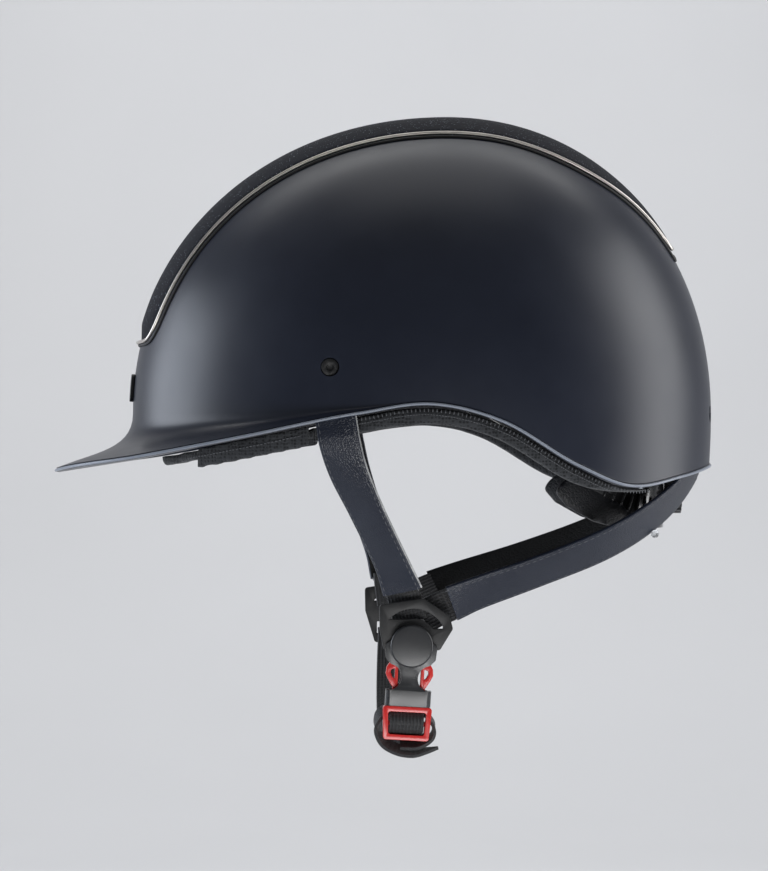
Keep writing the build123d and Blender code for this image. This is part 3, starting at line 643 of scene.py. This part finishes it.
def path_object(name, points, closed=False, facing=None):
    """An edge path in metres from points in millimetres, with the way each point faces."""
    mesh = bpy.data.meshes.new(name)
    count = len(points)
    edges = [(i, i + 1) for i in range(count - 1)] + ([(count - 1, 0)] if closed else [])
    mesh.from_pydata([tuple(np.array(p, float) * MM) for p in points], edges, [])
    if facing is not None:
        layer = mesh.attributes.new("facing", "FLOAT_VECTOR", "POINT")
        layer.data.foreach_set("vector", np.array(facing, float).ravel())
    obj = bpy.data.objects.new(name, mesh)
    bpy.context.scene.collection.objects.link(obj)
    return obj


def run_tree(obj, tree, material, **values):
    """Give an object a geometry tree with these sizes, then keep the plain result."""
    modifier = obj.modifiers.new(tree.name, "NODES")
    modifier.node_group = tree
    values["Material"] = material
    for item in tree.interface.items_tree:
        if item.in_out == "INPUT" and item.name in values:
            modifier[item.identifier] = values[item.name]
    bake_modifiers(obj)
    return obj


def bead(name, points, radius, material, closed=False, sides=12):
    path = path_object(name, points, closed)
    return tidy_normals(run_tree(path, BEAD, material, Radius=radius * MM, Sides=sides), 60)


def stitches(name, points, facing, material, step, length, thickness, turn=0.0, closed=False):
    row = path_object(name, points, closed, facing)
    return run_tree(row, STITCHES, material, Step=step * MM, Length=length * MM, Thickness=thickness * MM,
                    Turn=math.radians(turn))


def join(name, *pieces):
    """Several finished meshes on one body made one object."""
    bpy.ops.object.select_all(action="DESELECT")
    for piece in pieces:
        piece.select_set(True)
    bpy.context.view_layer.objects.active = pieces[0]
    bpy.ops.object.join()
    pieces[0].name = name
    return pieces[0]


# ---------- ribbons ----------

def ribbon_frames(stations, steps):
    """Centre, width direction and outward normal at close steps along a strap."""
    centres = spline_points([c for c, _ in stations], steps)
    across = spline_points([Vector(a).normalized() for _, a in stations], steps)
    frames = []
    for i, centre in enumerate(centres):
        run = Vector(centres[min(i + 1, len(centres) - 1)] - centres[max(i - 1, 0)]).normalized()
        w = Vector(across[i])
        w = (w - run * w.dot(run)).normalized()
        frames.append((Vector(centre), w, run.cross(w).normalized()))
    return frames


def strap_section(width, wall, crown, edge):
    """Closed outline of a strap: (across, out, part); part 0 is the face, 1 an edge, 2 the back."""
    half = width / 2
    outline = []
    for i in range(13):
        t = i / 12 * 2 - 1
        outline.append(((half - edge) * t, wall / 2 + crown * (1 - t * t), 0))
    for i in range(1, 7):
        a = math.pi / 2 - math.pi * i / 7
        outline.append((half - edge + edge * math.cos(a), wall / 2 * math.sin(a), 1))
    for i in range(9):
        outline.append(((half - edge) * (1 - i / 4), -wall / 2, 2))
    for i in range(1, 7):
        a = -math.pi / 2 - math.pi * i / 7
        outline.append((-half + edge + edge * math.cos(a), wall / 2 * math.sin(a), 1))
    return outline


def strap(name, frames, section, materials, face=1, widths=None):
    """Closed strap along frames; face says which side of it looks outward."""
    rows = len(frames)
    columns = len(section)
    vertices = []
    lengths = [0.0]
    for a, b in zip(frames, frames[1:]):
        lengths.append(lengths[-1] + (b[0] - a[0]).length * MM)
    for i, (centre, w, n) in enumerate(frames):
        share = widths(i / (rows - 1)) if widths else 1.0
        vertices += [(centre + w * (across * share) + n * (out * face)) * MM for across, out, _ in section]
    faces = grid_faces(rows, columns, wrap_columns=True)
    faces.append(tuple(range(columns)))
    faces.append(tuple(range((rows - 1) * columns, rows * columns)))
    obj = mesh_object(name, vertices, faces, materials[0])
    for material in materials[1:]:
        obj.data.materials.append(material)
    layer = obj.data.uv_layers.new(name="along and across")
    for polygon in obj.data.polygons:
        column = min(v % columns for v in polygon.vertices)
        if len(polygon.vertices) == 4:
            part = section[column][2]
            wrapped = {v % columns for v in polygon.vertices} == {0, columns - 1}
            polygon.material_index = min(1 if wrapped else part, len(materials) - 1)
        for index, vertex in zip(polygon.loop_indices, polygon.vertices):
            layer.data[index].uv = (lengths[vertex // columns], section[vertex % columns][0] * MM)
    return tidy_normals(obj, 50)


def line_on_strap(frames, across, out, face):
    """Points and facings for a row of stitches along a strap's outer face."""
    points = [c + w * across + n * (out * face) for c, w, n in frames]
    return points, [n * face for c, w, n in frames]


STRAP_SECTION = strap_section(STRAP_WIDTH, STRAP_WALL, 0.35, 0.9)
WEBBING_SECTION = strap_section(WEBBING_WIDTH, WEBBING_WALL, 0.1, 0.5)


# ---------- copies of CAD nodes ----------

def copy_of(node, name):
    """Merged copy of a CAD node's mesh as a new object."""
    obj = bpy.data.objects.new(name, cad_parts[node].data.copy())
    bpy.context.scene.collection.objects.link(obj)
    obj.data.materials.clear()
    bm = bmesh.new()
    bm.from_mesh(obj.data)
    bmesh.ops.remove_doubles(bm, verts=bm.verts, dist=2e-6)
    bmesh.ops.recalc_face_normals(bm, faces=bm.faces)
    bm.to_mesh(obj.data)
    bm.free()
    return obj


def softened(node, name, material, width=0.25, segments=2):
    """A moulding: the CAD shape with its edges rounded over."""
    obj = copy_of(node, name)
    bm = bmesh.new()
    bm.from_mesh(obj.data)
    bmesh.ops.dissolve_limit(bm, angle_limit=math.radians(0.6), verts=bm.verts, edges=bm.edges)
    bm.to_mesh(obj.data)
    bm.free()
    bevel = obj.modifiers.new("soft edges", "BEVEL")
    bevel.width = width * MM
    bevel.segments = segments
    bevel.limit_method = "ANGLE"
    bevel.angle_limit = math.radians(35)
    bevel.use_clamp_overlap = True
    bake_modifiers(obj)
    obj.data.materials.clear()
    obj.data.materials.append(material)
    tidy_normals(obj, 38)
    return obj


def shift_along_normals(mesh, distance):
    normals = np.empty(len(mesh.vertices) * 3)
    places = np.empty(len(mesh.vertices) * 3)
    mesh.vertices.foreach_get("normal", normals)
    mesh.vertices.foreach_get("co", places)
    mesh.vertices.foreach_set("co", places + normals * distance)
    mesh.update()


def plump(node, name, material, voxel=3.0, shrink=1.3, cap=1.9):
    """Padded piece: the CAD solid remeshed, drawn in, then filled until its cover is tight."""
    obj = copy_of(node, name)
    remesh = obj.modifiers.new("voxels", "REMESH")
    remesh.mode = "VOXEL"
    remesh.voxel_size = voxel * MM
    bake_modifiers(obj)
    obj.data.materials.clear()
    obj.data.materials.append(material)
    relax = obj.modifiers.new("relax", "SMOOTH")
    relax.factor = 0.5
    relax.iterations = 4
    bake_modifiers(obj)
    shift_along_normals(obj.data, -shrink * MM)
    before = np.empty(len(obj.data.vertices) * 3)
    obj.data.vertices.foreach_get("co", before)
    cloth = obj.modifiers.new("filling", "CLOTH")
    cloth.settings.use_pressure = True
    cloth.settings.uniform_pressure_force = 4.0
    cloth.settings.effector_weights.gravity = 0.0
    cloth.settings.quality = 4
    cloth.point_cache.frame_start = 1
    cloth.point_cache.frame_end = 20
    for number in range(1, 21):
        bpy.context.scene.frame_set(number)
    bake_modifiers(obj)
    bpy.context.scene.frame_set(1)
    after = np.empty(len(obj.data.vertices) * 3)
    obj.data.vertices.foreach_get("co", after)
    move = (after - before).reshape(-1, 3)
    far = np.linalg.norm(move, axis=1)
    move *= np.minimum(1.0, cap * MM / np.maximum(far, 1e-9))[:, None]
    obj.data.vertices.foreach_set("co", (before.reshape(-1, 3) + move).ravel())
    subdivide = obj.modifiers.new("smooth cover", "SUBSURF")
    subdivide.levels = 1
    subdivide.render_levels = 1
    bake_modifiers(obj)
    return tidy_normals(obj, 80)


# ---------- shell and crown panel ----------

def mount(obj, body, slot_name, *nodes):
    """Put a finished piece on its body, in place of its CAD nodes."""
    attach(obj, body)
    if nodes:
        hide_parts(*nodes)
    return obj


shell = build_shell(PAINT)
SIDE_RIVET = (-41.9, 42.3)
REAR_RIVET = (18.0, 22.0)
holes = []
for side in (-1, 1):
    holes.append((Vector((SIDE_RIVET[0], side * 100, SIDE_RIVET[1])) * MM, (0, 1, 0), RIVET_HOLE_R * MM, 0.040))
    holes.append((Vector((135, side * REAR_RIVET[0], REAR_RIVET[1])) * MM, (1, 0, 0), RIVET_HOLE_R * MM, 0.040))
bore(shell, holes)
mount(shell, "helmet", "shell_navy", "outer_shell")

# Pale bead round the shell's lip: a painted highlight standing in for the shell's own edge lit from below, not
# a separate trim
lip = [shell_profile(2 * math.pi * i / 360)[72] for i in range(360)]
mount(bead("rim_bead", lip, 0.65, RIM_PAINTED_HIGHLIGHT, closed=True, sides=10), "helmet", "shell_navy")


def foot_share(margin, raised):
    """Share of the full plan size at the height of the panel's front edge."""
    up = (PANEL_FOOT_Z - margin - WIDEST_Z) / (CROWN_Z - WIDEST_Z + raised)
    return (1 - up ** DOME_POWER) ** (1 / DOME_POWER)


def panel_half(x, margin=0.0, raised=0.0):
    """Half width of the crown panel: its side line, rounded into its level front edge."""
    side = smooth_through(PANEL_HALF, x) + margin
    share = foot_share(margin, raised)
    left = share ** 2 - ((x - WIDEST_X) / (FRONT_REACH + raised)) ** 2
    if x > WIDEST_X:
        return side
    front = (HALF_WIDTH + raised) * math.sqrt(max(left, 0))
    return (side ** -9 + max(front, 1e-3) ** -9) ** (-1 / 9)


def panel_ends(margin=0.0, raised=0.0):
    x0 = WIDEST_X - (FRONT_REACH + raised) * foot_share(margin, raised)
    return x0, PANEL_HALF[-1][0] + margin


def panel_outline(margin, raised):
    """Closed line round the crown panel, this far outside it and above the dome."""
    x0, x1 = panel_ends(margin, raised)
    left = []
    for i in range(1, 160):
        s = (1 - math.cos(math.pi * i / 160)) / 2
        x = x0 + (x1 - x0) * s
        corner = min((x1 - x) / 4.0, 1)
        y = panel_half(x, margin, raised) - 4.0 * (1 - math.sqrt(1 - (1 - corner) ** 2))
        left.append((x, y, dome_height(x, y, -raised)))
    front = (x0, 0, dome_height(x0, 0, -raised))
    rear = [(x1, y, dome_height(x1, y, -raised)) for y in (12, 6, 0, -6, -12)]
    return [front] + left + rear + [(x, -y, z) for x, y, z in left[::-1]]


def build_panel():
    """Padded cloth panel over the crown, with rolled edges, closed underneath."""
    rows, columns = 170, 45
    x0, x1 = panel_ends()
    vertices = []
    for i in range(rows):
        s = (1 - math.cos(math.pi * (i + 0.25) / (rows - 0.5))) / 2
        x = x0 + (x1 - x0) * s
        half = panel_half(x) - 0.1
        ring = []
        for under in (False, True):
            row = []
            for j in range(columns):
                t = -math.cos(math.pi * j / (columns - 1))
                y = half * t
                slope = 1 + 2.0 * max(1 - (x - x0) / 25, 0)
                edge = min(half - abs(y), (x - x0) * slope, x1 - x)
                round_over = math.sqrt(max(1 - (1 - min(edge / 2.2, 1)) ** 2, 0))
                swell = 0.4 * max(1 - t * t, 0) * min(edge / 15, 1)
                lift = -0.9 if under else (PANEL_PROUD - 0.5) * round_over + 0.1 + swell
                row.append(Vector((x, y, dome_height(x, y, -lift))))
            ring += row[::-1] if under else row
        vertices += [v * MM for v in ring]
    loop = 2 * columns
    faces = grid_faces(rows, loop, wrap_columns=True)
    for start_row in (0, rows - 1):
        base = start_row * loop
        for j in range(columns - 1):
            faces.append((base + j, base + j + 1, base + loop - 2 - j, base + loop - 1 - j))
    return tidy_normals(mesh_object("crown_panel_cloth", vertices, faces, GLITTER), 60)


mount(build_panel(), "helmet", "panel_fabric", "crown_panel")
mount(bead("crown_trim_bead", panel_outline(0.9, 1.5), 0.8, CHAMPAGNE, closed=True),
      "helmet", "trim_metal", "crown_trim")
mount(bead("crown_gasket_bead", panel_outline(2.3, 0.35), 0.75, GASKET, closed=True),
      "helmet", "gasket_rubber", "crown_gasket")
mount(softened("front_badge", "badge_plate", MATTE, 0.4, 3), "helmet", "black_plastic", "front_badge")


# ---------- liner and padding ----------

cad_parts["impact_liner"].data.materials.clear()
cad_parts["impact_liner"].data.materials.append(FOAM)

BOTH = ("_left", "_right")
for node, name, ends, voxel, shrink, cap in (
        ("crown_pad", "crown_cushion", ("",), 4.0, 1.2, 1.7),
        ("brow_pad", "brow_cushion", ("",), 4.0, 1.2, 1.7),
        ("side_pad", "side_cushion", BOTH, 4.0, 1.2, 1.7),
        ("brow_roll", "brow_roll_cover", ("",), 2.4, 1.0, 1.5),
        ("side_roll", "side_roll_cover", BOTH, 2.6, 1.1, 1.7),
        ("temple_pad", "temple_flap", BOTH, 1.6, 0.5, 0.8)):
    for end in ends:
        piece = plump(node + end, name + end, MESH, voxel, shrink, cap)
        mount(piece, "helmet", "mesh_lining", node + end)


def rim_path(x0, x1, side, inset, drop, steps=90):
    """Line round the inside of the rim on one side, with the way out at each point."""
    points, facing = [], []
    for i in range(steps + 1):
        x = x0 + (x1 - x0) * i / steps
        z = rim_height(x) - drop
        reach = (REAR_REACH if x > WIDEST_X else FRONT_REACH) - inset
        k = max(1 - ((x - WIDEST_X) / reach) ** 2, 0.0)
        low = 1 - FOOT_TAPER * ((WIDEST_Z - z) / (CROWN_Z - WIDEST_Z)) ** 2 if z < WIDEST_Z else 1.0
        y = side * (HALF_WIDTH - inset) * math.sqrt(k) * low
        points.append((x, y, z))
        facing.append(Vector(((x - WIDEST_X) / reach ** 2, y / (HALF_WIDTH - inset) ** 2, 0)).normalized())
    return points, facing


for side, label in ((-1, "left"), (1, "right")):
    upper, facing = rim_path(-46, 103, side, 7.0, 2.0)
    lower, _ = rim_path(-46, 84, side, 7.0, 4.0)
    row = stitches("ladder", upper, facing, THREAD, 1.9, 1.7, 0.55, 90)
    rail = stitches("rail", lower, facing, THREAD, 1.3, 1.25, 0.35)
    front, front_facing = rim_path(-108, -56, side, 7.2, 4.2)
    front_row = stitches("front_row", front, front_facing, THREAD, 1.9, 1.5, 0.45)
    mount(join("roll_stitching_" + label, row, rail, front_row), "helmet", "mesh_lining")


# ---------- leather straps and webbing ----------

# Each station is the strap's centre and the direction of its width
FRONT_STRAP = [
    ((-42, -93.4, 52), (1, -0.28, 0)),
    ((-42, -95.0, 36), (1, -0.28, 0)),
    ((-39, -96.4, 17), (1, -0.25, 0.1)),
    ((-37.5, -96.2, 8), (1, -0.25, 0.15)),
    ((-33.6, -92.0, -5), (1, -0.5, 0.3)),
    ((-25.8, -86.5, -22), (1, -0.8, 0.4)),
    ((-14.4, -78.5, -46), (1, -0.8, 0.4)),
    ((-9.4, -73.6, -59), (1, -0.45, 0.4))]
REAR_STRAP = [
    ((131.4, -20, 31), (-0.22, -1, 0)),
    ((131.4, -20, 13), (-0.22, -1, 0)),
    ((130.2, -21, 2), (-0.22, -1, 0.1)),
    ((126.6, -27, -6.5), (-0.2, -1, 0.5)),
    ((116.2, -38, -18), (-0.15, -1.0, 0.9)),
    ((101, -48.5, -29.2), (-0.1, -0.85, 1)),
    ((81.6, -57.5, -39.3), (0, -0.75, 1)),
    ((54, -64.5, -49.9), (0.1, -0.75, 1)),
    ((26, -68.8, -59.6), (0.2, -0.6, 1)),
    ((13, -70.0, -64.8), (0.3, -0.4, 1))]
FRONT_END = [
    ((-9.8, -71.6, -57), (1, -0.4, 0.4)),
    ((-7.8, -70.4, -65), (1, -0.1, 0.35)),
    ((-6, -70.6, -73), (1, 0, 0.3))]
REAR_END = [
    ((15, -67.2, -64.2), (0.35, -0.3, 1)),
    ((7, -66, -67.8), (0.35, -0.15, 1)),
    ((0, -66.4, -71.6), (0.35, 0, 1))]
RIGHT_SHIFT = -7.6


def on_right(stations, shift_from):
    """The same stations mirrored, carried forward with the right divider."""
    result = []
    for (x, y, z), (ax, ay, az) in stations:
        share = min(max((shift_from - z) / (shift_from + 72), 0), 1)
        result.append(((x + RIGHT_SHIFT * share, -y, z), (ax, -ay, az)))
    return result


def leather_strap(name, stations, side, outward, piped):
    """Leather strap with lining, stitched edges and piping along each edge listed in piped."""
    frames = ribbon_frames(stations, 10)
    face = outward * -side
    body = strap(name, frames, STRAP_SECTION, (NAVY_HIDE, NAVY_HIDE, INNER_HIDE), face)
    parts = [body]
    for across in (-7.9, 7.9):
        points, facing = line_on_strap(frames, across, 1.18, face)
        parts.append(stitches("seam", points, facing, THREAD, 3.2, 2.3, 0.38))
    for edge in piped:
        points, _ = line_on_strap(frames, edge * 9.3, 0.15, face)
        parts.append(bead("piping", points, 0.55, PIPING, sides=8))
    return join(name, *parts)


for side, label in ((-1, "left"), (1, "right")):
    front = FRONT_STRAP if side < 0 else on_right(FRONT_STRAP, 0)
    rear = REAR_STRAP if side < 0 else on_right(REAR_STRAP, -20)
    mount(leather_strap("front_leather_" + label, front, side, 1, (1,)),
          "helmet", "navy_leather", "front_strap_" + label)
    mount(leather_strap("rear_leather_" + label, rear, side, -1, ()),
          "helmet", "navy_leather", "rear_strap_" + label)
    for stations, end in ((FRONT_END, "front_webbing_"), (REAR_END, "rear_webbing_")):
        run = stations if side < 0 else on_right(stations, 0)
        frames = ribbon_frames(run, 8)
        band = strap(end + "run_" + label, frames, WEBBING_SECTION, (WEBBING,), -side)
        mount(band, "helmet", "webbing", end + label)


# ---------- dividers, rivets and buckle ----------

PIVOT = Vector((-5.4, -76.0, -83.6))
YAW = math.atan2(7.6, 149.5)
HANG = math.radians(3.5)


def hung(x, y, z):
    """A place in the pivot's own frame, carried to the hanging buckle."""
    turn = Matrix.Rotation(YAW, 3, "Z") @ Matrix.Rotation(HANG, 3, "Y")
    return turn @ Vector((x, y, z)) + PIVOT


def hung_direction(x, y, z):
    return Matrix.Rotation(YAW, 3, "Z") @ Matrix.Rotation(HANG, 3, "Y") @ Vector((x, y, z))


for node, name, material, width, slot_name, body in (
        ("divider_left", "divider_plate_left", MATTE, 0.45, "black_plastic", "helmet"),
        ("divider_right", "divider_plate_right", MATTE, 0.45, "black_plastic", "helmet"),
        ("side_rivets", "side_rivet_heads", MATTE, 0.3, "black_plastic", "helmet"),
        ("rear_rivets", "rear_rivet_heads", MATTE, 0.3, "black_plastic", "helmet"),
        ("fit_band_left", "fit_band_strip_left", GLOSS, 0.2, "black_plastic", "helmet"),
        ("fit_band_right", "fit_band_strip_right", GLOSS, 0.2, "black_plastic", "helmet"),
        ("buckle_socket", "socket_moulding", BUCKLE, 0.3, "black_plastic", "buckle"),
        ("pivot_cap", "pivot_button", BUCKLE, 0.3, "black_plastic", "buckle"),
        ("buckle_tongue", "tongue_frame", RED, 0.45, "red_plastic", "tongue"),
        ("prong_front", "ear_front", RED, 0.35, "red_plastic", "front_ear"),
        ("prong_rear", "ear_rear", RED, 0.35, "red_plastic", "rear_ear"),
        ("fit_dial", "dial_knob", GLOSS, 0.35, "gloss_black", "dial")):
    mount(softened(node, name, material, width, 2), body, slot_name, node)

studs = copy_of("strap_studs", "clear_studs")
studs.data.materials.append(CLEAR)
mount(tidy_normals(studs, 80), "helmet", "clear_plastic", "strap_studs")

# Lines of the webbing in the pivot's own frame; CHIN and OVER_BAR lie in one plane, given as (y, z)
CHIN = [(8.05, -34), (8.4, -38), (11.45, -44), (22, -49), (60, -50), (100, -46),
        (126, -34), (140.7, -18), (145.2, -7), (149.0, -3.4), (152.5, -2.6)]
chin = ribbon_frames([(hung(0, y, z), hung_direction(1, 0, 0)) for y, z in CHIN], 8)
mount(strap("chin_webbing_run", chin, WEBBING_SECTION, (WEBBING,)), "tongue", "webbing", "chin_webbing")

OVER_BAR = [(4.6, -30.4), (1.6, -31.2), (-0.6, -33.2), (-0.9, -35.6), (-0.2, -37.8), (1.6, -39.4)]
over = ribbon_frames([(hung(0, y, z), hung_direction(1, 0, 0)) for y, z in OVER_BAR], 8)
# TAIL also gives the width of the webbing at each place
TAIL = [(-8.5, 8.4, -29.5, 9), (-12.2, 7.4, -33.5, 10), (-13.0, 6.2, -39, 10), (-9.6, 5.2, -44.6, 9.5),
        (-3, 4.6, -47.9, 8.5), (4, 4.4, -48.8, 7), (10, 4.4, -47.6, 4), (15.4, 4.4, -46.0, 0.6)]
tail = ribbon_frames([(hung(x, y, z), hung_direction(0, 1, 0.55)) for x, y, z, _ in TAIL], 8)
spread = [w / WEBBING_WIDTH for _, _, _, w in TAIL]


def tail_width(share):
    place = share * (len(spread) - 1)
    i = min(int(place), len(spread) - 2)
    return spread[i] + (spread[i + 1] - spread[i]) * (place - i)


INNER = [(8.0, 8.6, -30), (12.6, 7.6, -36), (12.0, 6.8, -41.5), (6, 6.4, -45.4), (-2, 6.6, -46)]
inner = ribbon_frames([(hung(*place), hung_direction(0, 1, 0.3)) for place in INNER], 8)
loop = join("webbing_fold",
            strap("over_bar", over, WEBBING_SECTION, (WEBBING,)),
            strap("tail", tail, WEBBING_SECTION, (WEBBING,), widths=tail_width),
            strap("inner_fold", inner, WEBBING_SECTION, (WEBBING,), widths=lambda share: 0.56))
mount(loop, "tongue", "webbing", "webbing_loop")


# ---------- nape cradle ----------

def oval_path(inset, x0, height, steps=120):
    """Line round the cradle's wall behind x0, with the way out at each point."""
    a, b = 104.0 - inset, 62.0 - inset
    points, facing = [], []
    limit = math.acos(min(max((x0 - WIDEST_X) / a, -1), 1))
    for i in range(steps + 1):
        t = -limit + 2 * limit * i / steps
        x, y = WIDEST_X + a * math.cos(t), b * math.sin(t)
        points.append((x, y, height(x)))
        facing.append(Vector((math.cos(t) / a, math.sin(t) / b, 0)).normalized())
    return points, facing


def cradle_middle(x):
    top = smooth_through([(70, -7.8), (84, -7.5), (100, -14), (112, -11.5), (122, -11.5)], x)
    foot = smooth_through([(70, -9), (92, -20), (108, -32), (122, -32)], x)
    return (top + foot) / 2


cradle = softened("nape_cradle", "cradle_wall", GLOSS, 0.35, 2)
points, facing = oval_path(-0.35, 86, cradle_middle)
ribs = stitches("cradle_ribs", points, facing, GLOSS, 5.2, 11.0, 1.5, 90)
mount(join("cradle_moulding", cradle, ribs), "cradle", "gloss_black", "nape_cradle")

pad = plump("nape_pad", "nape_cushion", NAPE_HIDE, 2.2, 1.0, 1.5)
mount(pad, "cradle", "nape_leather", "nape_pad")


# ---------- stage, camera and light ----------

def stage_sweep():
    """Pale floor that curves up into a plain backdrop."""
    profile = [(-4.0, 0.0), (1.6, 0.0)]
    for i in range(1, 17):
        a = math.pi / 2 * i / 16
        profile.append((1.6 + 1.2 * math.sin(a), 1.2 * (1 - math.cos(a))))
    profile.append((2.8, 4.5))
    vertices = []
    for y, z in profile:
        vertices += [(-5.0, y, z + FLOOR_Z), (5.0, y, z + FLOOR_Z)]
    return mesh_object("studio_sweep", vertices, grid_faces(len(profile), 2), SWEEP)


def softbox(name, place, target, size, power, colour=(1, 1, 1), spread=180):
    data = bpy.data.lights.new(name, "AREA")
    data.spread = math.radians(spread)
    data.shape = "RECTANGLE"
    data.size, data.size_y = size
    data.energy = power
    data.color = colour
    obj = bpy.data.objects.new(name, data)
    obj.location = place
    obj.rotation_euler = (Vector(target) - Vector(place)).to_track_quat("-Z", "Y").to_euler()
    obj.visible_camera = False
    bpy.context.scene.collection.objects.link(obj)


FLOOR_Z = -0.42
sweep_material, sweep_tree, sweep_shader, sweep_where = start_material("pale paper sweep")
paper_colour = blend_colour(sweep_tree, noise(sweep_tree, sweep_where, 3.0, 2.0),
                            (0.62, 0.625, 0.64, 1), (0.66, 0.665, 0.68, 1))
sweep_tree.links.new(paper_colour, sweep_shader.inputs["Base Color"])
sweep_shader.inputs["Roughness"].default_value = 0.9
SWEEP = sweep_material
sweep = stage_sweep()
for polygon in sweep.data.polygons:
    polygon.use_smooth = True

world = bpy.data.worlds.new("studio air")
bpy.context.scene.world = world
world.use_nodes = True
world.node_tree.nodes["Background"].inputs["Color"].default_value = (0.80, 0.82, 0.86, 1)
world.node_tree.nodes["Background"].inputs["Strength"].default_value = 0.19

softbox("front strip", (-1.28, 0.20, 0.16), (-0.05, 0.0, 0.06), (0.9, 0.9), 12.5, (0.84, 0.90, 1.0))
softbox("rear strip", (1.28, 0.05, 0.27), (0.05, 0.0, 0.05), (0.75, 1.4), 13, (0.98, 0.985, 1.0))
softbox("high light", (0.0, -0.1, 1.6), (0.0, 0.0, 0.0), (1.2, 0.8), 2.6)
softbox("low fill", (0.05, -0.60, -0.32), (0.0, -0.076, -0.11), (0.5, 0.2), 0.55, spread=80)
softbox("backdrop light", (0.0, 0.8, 1.9), (0.0, 2.7, 0.3), (3.0, 0.8), 53)

camera = bpy.data.objects.new("camera", bpy.data.cameras.new("camera"))
bpy.context.scene.collection.objects.link(camera)
camera.location = (-0.0178, -1.4, 0.0118)
camera.rotation_euler = (math.pi / 2, 0, 0)
camera.data.sensor_width = 36
camera.data.lens = 120.6
camera.data.clip_end = 30
bpy.context.scene.camera = camera
bpy.context.scene.view_settings.view_transform = "Standard"
